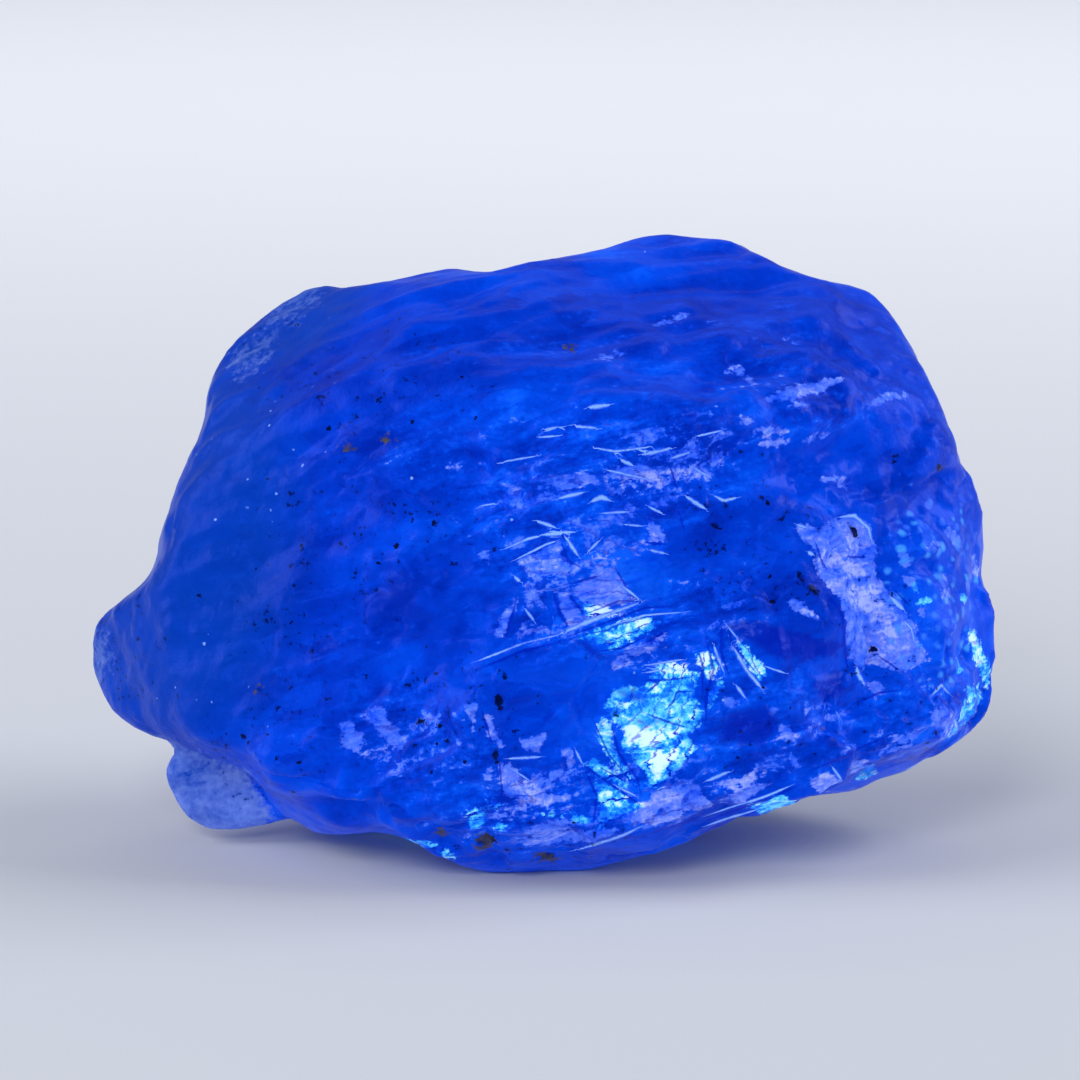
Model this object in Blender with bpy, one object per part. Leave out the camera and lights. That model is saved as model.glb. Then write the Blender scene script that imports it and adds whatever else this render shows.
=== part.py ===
"""Rough tanzanite: a blocky, broken blue crystal that stands on a small flat spot.

Run it with blender --background --python part.py, or from the text editor.
The model is in metres with +Z up, and its origin is the bottom centre of the stone's box.

The stone is described in its own front frame, in millimetres from its middle: x runs to the
right, y away from the front and z up the front face. That frame leans back by FRONT_TILT.
"""

import math

import bmesh
import bpy
from mathutils import Matrix, Vector, noise

MM = 0.001

# The frame that the front outline is drawn in leans back by this much
FRONT_TILT = math.radians(11.0)

# Half thickness of the stone in front of and behind its outline
DEPTH_FRONT = 7.2
DEPTH_BACK = 7.5
# 2 gives an ellipse from front to back, more gives a block
SQUARENESS = 3.0
# How far the outline moves back for each millimetre that it rises
DEPTH_SHEAR = 0.15
# Angle that each corner of the outline is softened over
CORNER_ANGLE = math.radians(1.6)
# Share of an outline edge that a ray may miss it by, so that none slips between two edges
CORNER_SLACK = 1e-6

# Corners of the front outline, anticlockwise from the right: (x, z)
OUTLINE = (
    (12.1, 0.0), (12.0, 1.8), (11.4, 3.0), (10.5, 5.4), (9.8, 6.8), (9.1, 7.8),
    (7.3, 8.1), (5.9, 8.6), (5.1, 9.2), (3.9, 9.3), (2.8, 9.5), (0.6, 8.8),
    (-2.1, 8.2), (-3.2, 8.4), (-6.2, 7.8), (-7.0, 8.1), (-8.0, 7.5), (-9.6, 6.2),
    (-10.2, 4.7), (-10.1, 4.0), (-10.5, 3.2), (-11.0, 1.7), (-11.4, 0.4), (-11.8, -0.8),
    (-13.3, -1.5), (-13.5, -2.7), (-13.3, -3.7), (-12.5, -4.6), (-11.4, -5.1), (-9.7, -5.6),
    (-8.6, -6.2), (-8.2, -7.3), (-6.9, -7.8), (-5.4, -7.6), (-4.1, -7.9), (-2.9, -8.5),
    (-1.9, -8.8), (0.4, -8.8), (1.5, -8.5), (2.6, -8.2), (4.1, -7.6), (5.7, -6.9),
    (8.3, -6.6), (10.4, -5.8), (11.8, -4.9), (12.1, -3.6),
)

# Large broken faces: outward normal and distance from the middle
FACES = (
    # Top slope, its left shoulder and its right shoulder
    ((0.05, -0.58, 0.81), 7.3),
    ((-0.48, -0.52, 0.71), 8.6),
    ((0.60, -0.46, 0.66), 9.9),
    # Front: left face, middle, pale plane at the right, right side, left side
    ((-0.30, -0.95, 0.10), 6.6),
    ((0.06, -0.99, -0.14), 6.9),
    ((0.46, -0.88, 0.06), 7.8),
    ((0.86, -0.50, 0.05), 10.7),
    ((-0.78, -0.62, -0.08), 9.9),
    # Underside: front band, left and right
    ((0.03, -0.42, -0.91), 9.1),
    ((-0.50, -0.30, -0.81), 9.6),
    ((0.42, -0.30, -0.86), 9.2),
    # Back: three faces, the top slope and the underside
    ((0.12, 0.97, 0.20), 6.7),
    ((-0.62, 0.77, 0.12), 8.4),
    ((0.66, 0.74, -0.12), 9.2),
    ((-0.10, 0.56, 0.82), 8.2),
    ((0.08, 0.50, -0.86), 8.8),
)
# Smaller chipped corners all round: how many, and the share of the stone that they take off
CHIPS = 46
CHIP_LEAST = 0.02
CHIP_MOST = 0.07
# How quickly that share changes from one corner to the next
CHIP_VARIETY = 3.7
# Faces that look along the outline are left out, because they would cut it
CHIP_FACING = 0.28
# Share of the radius that the edge between two faces is rounded over
FACE_ROUNDING = 0.012

# How sharply the patches of relief begin and end
PATCH_CONTRAST = 1.8

# The cleavage splits the stone into flat steps across this direction
CLEAVAGE = Vector((0.28, -0.95, 0.08)).normalized()
STEP_HEIGHT = 1.3
# How much the height of the steps varies
STEP_VARIETY = 0.35
STEP_VARIETY_RATE = 2.1
# Share of a step that is its steep riser, and how flat the tread is
STEP_RISER = 0.24
STEP_SLOPE = 0.25
# How far the edges of the steps wander, and over what length
STEP_WANDER = 1.6
STEP_WANDER_SIZE = 3.0
# Steps show where the surface faces the cleavage by more than this, in patches of this size
STEP_FACING = 0.62
STEP_FACING_EASE = 0.25
STEP_PATCH_SIZE = 6.0
STEP_PATCH_SEED = 6.0

# Striations run along this direction on every side, in patches
GRAIN = Vector((0.95, 0.12, 0.27)).normalized()
GRAIN_STRETCH = 5.0
RIPPLE_HEIGHT = 0.42
RIPPLE_SIZE = 1.5
# Height of a ripple's crest, and how deep its grooves fall from there, as shares
RIPPLE_CREST = 0.4
RIPPLE_GROOVE = 2.0
RIPPLE_PATCH_SIZE = 7.0
RIPPLE_PATCH_SEED = 9.0
# They are strongest on the top slope: within half a reach of this point, fading out by one and a half
RIPPLE_MIDDLE = Vector((3.0, -3.0, 6.5))
RIPPLE_REACH = 7.0
RIPPLE_FADE = 1.5

LUMP_HEIGHT = 0.40
LUMP_SIZE = 5.0
KNOB_HEIGHT = 0.22
KNOB_SIZE = 1.3
KNOB_PATCH_SIZE = 5.0
KNOB_PATCH_SEED = 2.0
# Share of the relief that is left where the surface turns away at the outline, and how far
# the surface has to face the front or the back for all of it
OUTLINE_RELIEF = 0.18
OUTLINE_EASE = 0.5

# The sides that blocks and hollows are placed on: right, up and outward directions
SIDES = {
    "front": (Vector((1, 0, 0)), Vector((0, 0, 1)), Vector((0, -1, 0))),
    "back": (Vector((-1, 0, 0)), Vector((0, 0, 1)), Vector((0, 1, 0))),
    "left": (Vector((0, -1, 0)), Vector((0, 0, 1)), Vector((-1, 0, 0))),
    "right": (Vector((0, 1, 0)), Vector((0, 0, 1)), Vector((1, 0, 0))),
    "top": (Vector((1, 0, 0)), Vector((0, 1, 0)), Vector((0, 0, 1))),
    "under": (Vector((1, 0, 0)), Vector((0, -1, 0)), Vector((0, 0, -1))),
}
# Blocks (positive) and hollows (negative) left by the breaks. Each is steep at one end and
# runs out to nothing at the other: side, middle right, middle up, half width, half length,
# turn in degrees of the steep end (0 is up, 90 is left), height
BLOCKS = (
    # Dark block at the right of the front, and the cup above it
    ("front", 5.6, -2.6, 4.0, 2.5, -98, 0.80),
    ("front", 4.8, 5.0, 1.0, 0.8, 15, -0.45),
    # Long block under the diagonal break, and the wedge at its left end
    ("front", 0.2, -3.5, 3.6, 1.2, 16, 0.42),
    ("front", -1.2, -1.4, 1.0, 0.5, -102, -0.45),
    # Bright hollow where the break fans out, and the blocks beside it
    ("front", 2.6, -4.6, 1.5, 2.0, 35, -0.50),
    ("front", -0.5, -6.1, 1.6, 0.9, 4, 0.45),
    ("front", -2.1, -4.6, 1.3, 0.6, 96, 0.40),
    ("front", 3.6, 1.0, 2.0, 1.3, 160, -0.45),
    # Ledges between the top slope and the front
    ("front", 6.6, 4.3, 2.1, 0.9, 192, 0.45),
    ("front", 1.6, 3.0, 2.6, 0.9, 194, 0.40),
    ("front", -2.4, 2.4, 2.4, 0.8, 188, 0.35),
    # Left face: a flat step, a hollow and the neck of the lobe
    ("front", -5.2, 0.2, 2.4, 1.9, -94, 0.45),
    ("front", -8.3, -1.0, 2.0, 1.2, 78, -0.40),
    ("front", -6.0, -5.2, 2.2, 1.2, 170, 0.45),
    # Right side: two steps that turn away
    ("front", 9.8, -1.8, 2.8, 1.2, -84, 0.30),
    # Pit at the lower edge
    ("front", -2.1, -7.9, 0.45, 0.4, 20, -0.55),
    # Back
    ("back", 4.6, 1.2, 3.1, 2.8, -60, 0.80),
    ("back", -3.4, 3.2, 3.0, 1.6, 160, 0.65),
    ("back", -0.6, -1.8, 2.6, 1.9, 110, -0.60),
    ("back", -6.8, -1.6, 2.6, 2.4, 20, 0.60),
    ("back", 2.2, -5.0, 3.0, 1.2, -170, 0.50),
    ("back", 8.6, -2.2, 1.9, 1.7, 50, -0.55),
    ("back", 0.8, 5.8, 2.4, 0.9, -12, 0.45),
    # Ends
    ("left", 0.6, 2.4, 2.4, 1.6, 150, 0.50),
    ("left", -2.6, -0.6, 1.8, 1.6, -10, -0.50),
    ("right", 1.0, 2.2, 2.5, 1.8, -160, 0.50),
    ("right", 2.4, -1.9, 1.8, 1.6, 60, -0.60),
    ("right", -1.8, -1.6, 2.4, 1.4, 86, 0.45),
    # Top, behind the edge that the front shows
    ("top", 2.2, 2.8, 3.0, 1.4, 14, 0.55),
    ("top", -4.2, 2.2, 2.6, 1.5, 190, -0.50),
    ("top", -1.2, -2.6, 3.4, 0.8, 192, 0.40),
    ("top", 5.6, -1.6, 1.9, 1.0, 16, -0.45),
    # Underside, clear of the flat that it stands on
    ("under", 7.0, -1.2, 2.0, 1.8, -80, 0.45),
    ("under", -7.0, 0.8, 2.0, 1.7, 100, -0.45),
)
# A block shows where the surface faces its side by more than this
BLOCK_FACING = 0.15
BLOCK_FACING_EASE = 0.3
# Share of a block's half width that its steep edge slopes over
BLOCK_EDGE = 0.24
# How square a block's outline is, and how far it wanders
BLOCK_SQUARENESS = 3.2
BLOCK_WANDER = 0.34
BLOCK_WANDER_SIZE = 1.5

# Thin flake at the lower left: its outline (x, z), depth and half thickness
FLAKE_OUTLINE = (
    (-10.9, -5.3), (-11.2, -5.7), (-11.4, -6.0), (-11.2, -6.7), (-10.8, -7.4),
    (-10.1, -7.8), (-9.3, -7.8), (-8.3, -7.6), (-6.9, -7.2), (-6.6, -5.4), (-7.6, -4.2), (-9.8, -4.4),
)
FLAKE_DEPTH = 0.3
FLAKE_HALF = 0.45
# Thin rim along the right edge
RIM_OUTLINE = (
    (11.4, -0.5), (12.1, -0.7), (12.4, -1.2), (12.4, -2.5), (12.5, -3.7), (12.3, -4.4),
    (11.9, -4.9), (10.8, -5.0), (10.5, -2.6), (10.8, -0.9),
)
RIM_DEPTH = -0.6
RIM_HALF = 0.35
# Share of a thin piece's half thickness that its rounded edge takes
THIN_ROUND = 0.55
# Points closer than this are one, in mm
MERGE_DISTANCE = 0.0001

# Height above the outline's middle, along +Z, that the resting flat is cut at (negative is below)
REST_CUT = -8.05
CUTTER_SIZE = 60.0

SPHERE_SUBDIVISIONS = 7
# Times that the finest grid is smoothed, so that no ledge folds over itself
SOFTENING = 3
# Rows of directions that the stone's reach is looked for in
REACH_ROWS = 24
TRIANGLES = 8600

STONE_COLOUR = (0.010, 0.060, 0.62, 1.0)
STONE_ROUGHNESS = 0.30


def clear_scene():
    """Remove whatever the file already holds."""
    for item in list(bpy.data.objects):
        bpy.data.objects.remove(item, do_unlink=True)


def new_collection(name):
    """Make a collection in the scene and return it."""
    group = bpy.data.collections.new(name)
    bpy.context.scene.collection.children.link(group)
    return group


def tanzanite():
    """Glassy violet-blue crystal."""
    material = bpy.data.materials.new("tanzanite")
    material.use_nodes = True
    shader = material.node_tree.nodes["Principled BSDF"]
    shader.inputs["Base Color"].default_value = STONE_COLOUR
    shader.inputs["Roughness"].default_value = STONE_ROUGHNESS
    shader.inputs["Metallic"].default_value = 0.0
    material.diffuse_color = STONE_COLOUR
    return material


def smooth_step(value):
    """Ease from 0 to 1 while the value goes from 0 to 1."""
    value = min(max(value, 0.0), 1.0)
    return value * value * (3.0 - 2.0 * value)


def smooth_min(first, second, width):
    """The smaller of two numbers, rounded where they meet."""
    overlap = max(width - abs(first - second), 0.0) / width
    return min(first, second) - overlap * overlap * width / 4.0


def corner_radius(angle):
    """Distance from the middle to the straight outline in one direction of the front plane."""
    ray = Vector((math.cos(angle), math.sin(angle)))
    best = 0.0
    for index, corner in enumerate(OUTLINE):
        start = Vector(corner)
        run = Vector(OUTLINE[(index + 1) % len(OUTLINE)]) - start
        spread = ray.cross(run)
        if spread == 0.0:
            continue
        along = ray.cross(start) / -spread
        reach = start.cross(run) / spread
        if -CORNER_SLACK <= along <= 1.0 + CORNER_SLACK and reach > best:
            best = reach
    return best


def outline_radius(angle):
    """The outline's radius with its corners softened."""
    middle = 2.0 * corner_radius(angle)
    return (middle + corner_radius(angle - CORNER_ANGLE) + corner_radius(angle + CORNER_ANGLE)) / 4.0


def body_point(direction):
    """The rounded block that the faces are broken from."""
    flat = math.hypot(direction.x, direction.z)
    radius = outline_radius(math.atan2(direction.z, direction.x))
    depth = DEPTH_FRONT if direction.y < 0.0 else DEPTH_BACK
    across = (flat / radius) ** SQUARENESS + (abs(direction.y) / depth) ** SQUARENESS
    point = direction * across ** (-1.0 / SQUARENESS)
    point.y += DEPTH_SHEAR * point.z
    return point


def chipped_corners():
    """Normals spread evenly over the stone, each with the share that is chipped off there."""
    golden = math.pi * (3.0 - math.sqrt(5.0))
    corners = []
    for index in range(CHIPS):
        height = 1.0 - 2.0 * (index + 0.5) / CHIPS
        ring = math.sqrt(1.0 - height * height)
        turn = index * golden
        normal = Vector((ring * math.cos(turn), ring * math.sin(turn), height))
        if abs(normal.y) < CHIP_FACING:
            continue
        share = 0.5 + 0.5 * noise.noise(normal * CHIP_VARIETY)
        corners.append((normal, CHIP_LEAST + (CHIP_MOST - CHIP_LEAST) * share))
    return corners


def all_faces():
    """Every flat face with its distance, none of them so near that it cuts the outline."""
    rim = [Vector((x, DEPTH_SHEAR * z, z)) for x, z in OUTLINE]
    faces = []
    for normal, distance in FACES:
        normal = Vector(normal).normalized()
        reach = max(normal.dot(corner) for corner in rim)
        faces.append((normal, max(distance, reach)))
    for normal, share in chipped_corners():
        support = max(normal.dot(body_point(direction)) for direction in spread_directions())
        reach = max(normal.dot(corner) for corner in rim)
        faces.append((normal, max(support * (1.0 - share), reach)))
    return faces


def spread_directions():
    """Directions over the whole sphere, close enough to find the stone's reach along any of them."""
    directions = []
    for row in range(1, REACH_ROWS):
        tilt = math.pi * row / REACH_ROWS
        for column in range(2 * REACH_ROWS):
            turn = math.pi * column / REACH_ROWS
            ring = math.sin(tilt)
            directions.append(Vector((ring * math.cos(turn), ring * math.sin(turn), math.cos(tilt))))
    return directions


def break_faces(point, faces):
    """Pull a point in to the flat faces that it lies outside."""
    scale = 1.0
    for normal, distance in faces:
        height = normal.dot(point)
        if height > 0.0:
            scale = smooth_min(scale, distance / height, FACE_ROUNDING)
    return point * scale


def patch(point, size, seed):
    """Share from 0 to 1 that rises and falls in soft patches over the stone."""
    return smooth_step(0.5 + PATCH_CONTRAST * noise.noise(point / size + Vector((seed, -seed, seed))))


def cleave(point, outward):
    """Gather a point on to flat steps across the cleavage direction."""
    facing = smooth_step((abs(outward.dot(CLEAVAGE)) - STEP_FACING) / STEP_FACING_EASE)
    share = facing * patch(point, STEP_PATCH_SIZE, STEP_PATCH_SEED)
    if share == 0.0:
        return point
    height = point.dot(CLEAVAGE)
    beside = point - CLEAVAGE * height
    wander = STEP_WANDER * noise.noise(beside / STEP_WANDER_SIZE)
    level = (height + wander) / STEP_HEIGHT
    varied = level + STEP_VARIETY * math.sin(STEP_VARIETY_RATE * level)
    whole = math.floor(varied)
    part = varied - whole
    riser = smooth_step((part - 0.5) / STEP_RISER + 0.5)
    stepped = whole + STEP_SLOPE * part + (1.0 - STEP_SLOPE) * riser
    return point + CLEAVAGE * (share * STEP_HEIGHT * (stepped - varied))


def striations(point):
    """Ripples stretched along the grain."""
    along = point.dot(GRAIN)
    stretched = point - GRAIN * along * (1.0 - 1.0 / GRAIN_STRETCH)
    ripple = RIPPLE_CREST - RIPPLE_GROOVE * abs(noise.noise(stretched / RIPPLE_SIZE))
    near = smooth_step(RIPPLE_FADE - (point - RIPPLE_MIDDLE).length / RIPPLE_REACH)
    return RIPPLE_HEIGHT * ripple * max(near, patch(point, RIPPLE_PATCH_SIZE, RIPPLE_PATCH_SEED))


def blocks(point, outward):
    """Height of the raised blocks and hollows at a point."""
    total = 0.0
    for side, right, up, half_width, half_length, turn, height in BLOCKS:
        across, above, facing = SIDES[side]
        share = smooth_step((outward.dot(facing) - BLOCK_FACING) / BLOCK_FACING_EASE)
        if share == 0.0:
            continue
        angle = math.radians(turn)
        shift = BLOCK_WANDER * noise.noise(point / BLOCK_WANDER_SIZE)
        x = point.dot(across) - right
        z = point.dot(above) - up
        turned_x = (x * math.cos(angle) + z * math.sin(angle)) / half_width
        turned_z = (z * math.cos(angle) - x * math.sin(angle)) / half_length
        reach = (abs(turned_x) ** BLOCK_SQUARENESS + abs(turned_z) ** BLOCK_SQUARENESS)
        reach = reach ** (1.0 / BLOCK_SQUARENESS) + shift
        inside = smooth_step((1.0 - reach) / BLOCK_EDGE + 0.5)
        total += height * share * inside * smooth_step((1.0 + turned_z) / 2.0)
    return total


def relief(point, outward):
    """Height of everything small that stands on the broken faces."""
    turned_away = abs(outward.y)
    share = OUTLINE_RELIEF + (1.0 - OUTLINE_RELIEF) * smooth_step(turned_away / OUTLINE_EASE)
    lumps = LUMP_HEIGHT * noise.noise(point / LUMP_SIZE)
    knobs = KNOB_HEIGHT * noise.noise(point / KNOB_SIZE) * patch(point, KNOB_PATCH_SIZE, KNOB_PATCH_SEED)
    return share * (lumps + knobs + striations(point) + blocks(point, outward))


def stone_body(group):
    """The whole stone without its thin edges, in millimetres in the front frame."""
    mesh = bpy.data.meshes.new("stone")
    form = bmesh.new()
    bmesh.ops.create_icosphere(form, subdivisions=SPHERE_SUBDIVISIONS, radius=1.0)
    faces = all_faces()
    for vertex in form.verts:
        outward = vertex.co.normalized()
        point = cleave(break_faces(body_point(outward), faces), outward)
        vertex.co = point + outward * relief(point, outward)
    for _ in range(SOFTENING):
        bmesh.ops.smooth_vert(form, verts=form.verts, factor=0.5, use_axis_x=True,
                              use_axis_y=True, use_axis_z=True)
    form.to_mesh(mesh)
    form.free()
    stone = bpy.data.objects.new("stone", mesh)
    group.objects.link(stone)
    return stone


def thin_piece(name, outline, depth, half, group):
    """A thin chip with rounded edges, drawn in the front plane at the given depth."""
    curve = bpy.data.curves.new(name, "CURVE")
    curve.dimensions = "2D"
    curve.fill_mode = "BOTH"
    curve.extrude = half * (1.0 - THIN_ROUND)
    curve.bevel_depth = half * THIN_ROUND
    curve.offset = -curve.bevel_depth
    curve.bevel_resolution = 1
    spline = curve.splines.new("POLY")
    spline.points.add(len(outline) - 1)
    for point, corner in zip(spline.points, outline):
        point.co = (corner[0], corner[1], 0.0, 1.0)
    spline.use_cyclic_u = True
    drawn = bpy.data.objects.new(name + "_curve", curve)
    bpy.context.scene.collection.objects.link(drawn)
    bpy.context.view_layer.update()
    graph = bpy.context.evaluated_depsgraph_get()
    mesh = bpy.data.meshes.new_from_object(drawn.evaluated_get(graph))
    bpy.data.objects.remove(drawn, do_unlink=True)
    form = bmesh.new()
    form.from_mesh(mesh)
    bmesh.ops.remove_doubles(form, verts=form.verts, dist=MERGE_DISTANCE)
    bmesh.ops.transform(form, verts=form.verts, matrix=Matrix.Rotation(math.radians(90.0), 4, "X"))
    bmesh.ops.translate(form, verts=form.verts, vec=(0.0, depth, 0.0))
    bmesh.ops.recalc_face_normals(form, faces=form.faces)
    form.to_mesh(mesh)
    form.free()
    chip = bpy.data.objects.new(name, mesh)
    chip.hide_render = True
    chip.display_type = "WIRE"
    group.objects.link(chip)
    return chip


def rest_cutter(group):
    """The block whose top face cuts the flat that the stone stands on."""
    mesh = bpy.data.meshes.new("rest_cutter")
    form = bmesh.new()
    bmesh.ops.create_cube(form, size=CUTTER_SIZE)
    bmesh.ops.translate(form, verts=form.verts, vec=(0.0, 0.0, REST_CUT - CUTTER_SIZE / 2.0))
    bmesh.ops.rotate(form, verts=form.verts, matrix=Matrix.Rotation(FRONT_TILT, 3, "X"))
    form.to_mesh(mesh)
    form.free()
    cutter = bpy.data.objects.new("rest_cutter", mesh)
    cutter.hide_render = True
    cutter.display_type = "WIRE"
    group.objects.link(cutter)
    return cutter


def combine(stone, other, operation):
    """Join or cut the stone with another body."""
    change = stone.modifiers.new(other.name, "BOOLEAN")
    change.object = other
    change.operation = operation
    change.solver = "EXACT"


def bake_modifiers(stone):
    """Replace the stone's mesh with what its modifiers make of it."""
    bpy.context.view_layer.update()
    graph = bpy.context.evaluated_depsgraph_get()
    mesh = bpy.data.meshes.new_from_object(stone.evaluated_get(graph))
    stone.modifiers.clear()
    stone.data = mesh
    mesh.name = "stone"


def thin_out(stone):
    """Merge the triangles of flat ground, and keep those of the ledges."""
    bake_modifiers(stone)
    stone.data.calc_loop_triangles()
    fewer = stone.modifiers.new("fewer", "DECIMATE")
    fewer.ratio = min(1.0, TRIANGLES / len(stone.data.loop_triangles))
    bake_modifiers(stone)


def place(stone):
    """Stand the stone upright, at real size, with its box's bottom centre at the origin."""
    form = bmesh.new()
    form.from_mesh(stone.data)
    upright = Matrix.Scale(MM, 4) @ Matrix.Rotation(-FRONT_TILT, 4, "X")
    bmesh.ops.transform(form, verts=form.verts, matrix=upright)
    bmesh.ops.triangulate(form, faces=form.faces)
    xs = [vertex.co.x for vertex in form.verts]
    ys = [vertex.co.y for vertex in form.verts]
    zs = [vertex.co.z for vertex in form.verts]
    middle = Vector(((min(xs) + max(xs)) / 2.0, (min(ys) + max(ys)) / 2.0, min(zs)))
    bmesh.ops.translate(form, verts=form.verts, vec=-middle)
    form.to_mesh(stone.data)
    form.free()


def main():
    """Build the stone."""
    clear_scene()
    group = new_collection("rough_tanzanite")
    cutters = new_collection("cutters")
    stone = stone_body(group)
    flake = thin_piece("flake", FLAKE_OUTLINE, FLAKE_DEPTH, FLAKE_HALF, cutters)
    rim = thin_piece("rim", RIM_OUTLINE, RIM_DEPTH, RIM_HALF, cutters)
    combine(stone, flake, "UNION")
    combine(stone, rim, "UNION")
    thin_out(stone)
    cutter = rest_cutter(cutters)
    combine(stone, cutter, "DIFFERENCE")
    bake_modifiers(stone)
    place(stone)
    stone.data.materials.clear()
    stone.data.materials.append(tanzanite())


if __name__ == "__main__":
    main()
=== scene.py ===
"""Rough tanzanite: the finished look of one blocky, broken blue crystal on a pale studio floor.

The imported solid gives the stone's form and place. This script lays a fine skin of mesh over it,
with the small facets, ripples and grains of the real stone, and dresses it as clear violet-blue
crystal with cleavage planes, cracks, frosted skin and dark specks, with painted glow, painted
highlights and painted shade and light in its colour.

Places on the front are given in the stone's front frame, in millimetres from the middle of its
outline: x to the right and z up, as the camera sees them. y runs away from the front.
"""

import logging
import math
from dataclasses import dataclass, field
from enum import Enum

import bpy
import numpy as np
from mathutils import Euler, Matrix, Vector, noise


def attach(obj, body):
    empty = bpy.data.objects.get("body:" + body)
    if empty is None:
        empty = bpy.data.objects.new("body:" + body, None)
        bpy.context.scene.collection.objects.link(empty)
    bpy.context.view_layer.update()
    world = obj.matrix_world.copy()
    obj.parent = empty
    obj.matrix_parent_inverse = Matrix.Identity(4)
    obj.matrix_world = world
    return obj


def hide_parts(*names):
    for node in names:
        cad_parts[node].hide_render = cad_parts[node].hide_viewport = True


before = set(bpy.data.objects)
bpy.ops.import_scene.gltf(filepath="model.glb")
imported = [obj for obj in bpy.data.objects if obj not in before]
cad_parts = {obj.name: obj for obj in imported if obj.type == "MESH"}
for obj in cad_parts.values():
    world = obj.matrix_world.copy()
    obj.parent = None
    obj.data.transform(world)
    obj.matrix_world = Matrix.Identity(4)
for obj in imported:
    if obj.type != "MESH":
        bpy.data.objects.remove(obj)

LOG = logging.getLogger("rough_tanzanite")

MM = 0.001
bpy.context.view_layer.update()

# The front frame leans back by this angle, and its origin is here, in mm from the model's origin
FRONT_TILT = math.radians(11.0)
OUTLINE_MIDDLE = np.array((0.484, -0.088, 8.05))


def linear(hex_colour: str) -> tuple[float, float, float, float]:
    """Turn an sRGB hex colour into linear RGBA.

    Args:
        hex_colour: Six hexadecimal digits, with or without a leading mark.

    Returns:
        Red, green, blue and an alpha of one.
    """
    digits = hex_colour.lstrip("#")
    channels = []
    for start in (0, 2, 4):
        value = int(digits[start:start + 2], 16) / 255.0
        channels.append(value / 12.92 if value <= 0.04045 else ((value + 0.055) / 1.055) ** 2.4)
    return channels[0], channels[1], channels[2], 1.0


def add_node(tree: bpy.types.NodeTree, kind: str, settings: dict | None = None,
             inputs: dict | None = None) -> bpy.types.Node:
    """Add a shader node.

    Args:
        tree: The node tree that gets the node.
        kind: The node's type name.
        settings: Properties to set on the node.
        inputs: Values or output sockets for its inputs, by socket name or number.

    Returns:
        The new node.
    """
    node = tree.nodes.new(kind)
    for name, value in (settings or {}).items():
        setattr(node, name, value)
    for name, value in (inputs or {}).items():
        if isinstance(value, bpy.types.NodeSocket):
            tree.links.new(value, node.inputs[name])
        else:
            node.inputs[name].default_value = value
    return node


def smooth_step(value: np.ndarray) -> np.ndarray:
    """Ease from 0 to 1 while the value goes from 0 to 1."""
    value = np.clip(value, 0.0, 1.0)
    return value * value * (3.0 - 2.0 * value)


def grain(points: np.ndarray, size: float, seed: float = 0.0) -> np.ndarray:
    """Smooth random values over points.

    Args:
        points: Places in mm, one row each.
        size: Width of a grain in mm.
        seed: Shifts the pattern.

    Returns:
        One value from -1 to 1 for each point.
    """
    return np.array([noise.noise(place) for place in (points / size + seed).tolist()])


def to_front(points: np.ndarray) -> np.ndarray:
    """Turn places in the model, in mm, into the front frame."""
    cosine, sine = math.cos(FRONT_TILT), math.sin(FRONT_TILT)
    x, y, z = (points - OUTLINE_MIDDLE).T
    return np.column_stack((x, y * cosine - z * sine, y * sine + z * cosine))


def from_front(points: np.ndarray) -> np.ndarray:
    """Turn places in the front frame into the model, in mm."""
    cosine, sine = math.cos(FRONT_TILT), math.sin(FRONT_TILT)
    x, y, z = points.T
    return np.column_stack((x, y * cosine + z * sine, z * cosine - y * sine)) + OUTLINE_MIDDLE


class Mark(Enum):
    """What a drawn mark shows."""

    PALE = "pale"
    GLOW = "glow"
    CORE = "core"
    DEEP = "deep"
    CLEAR = "clear"
    FROST = "frost"
    DARK = "dark"
    EARTH = "earth"
    LINE = "line"
    CRACK = "crack"


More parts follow.
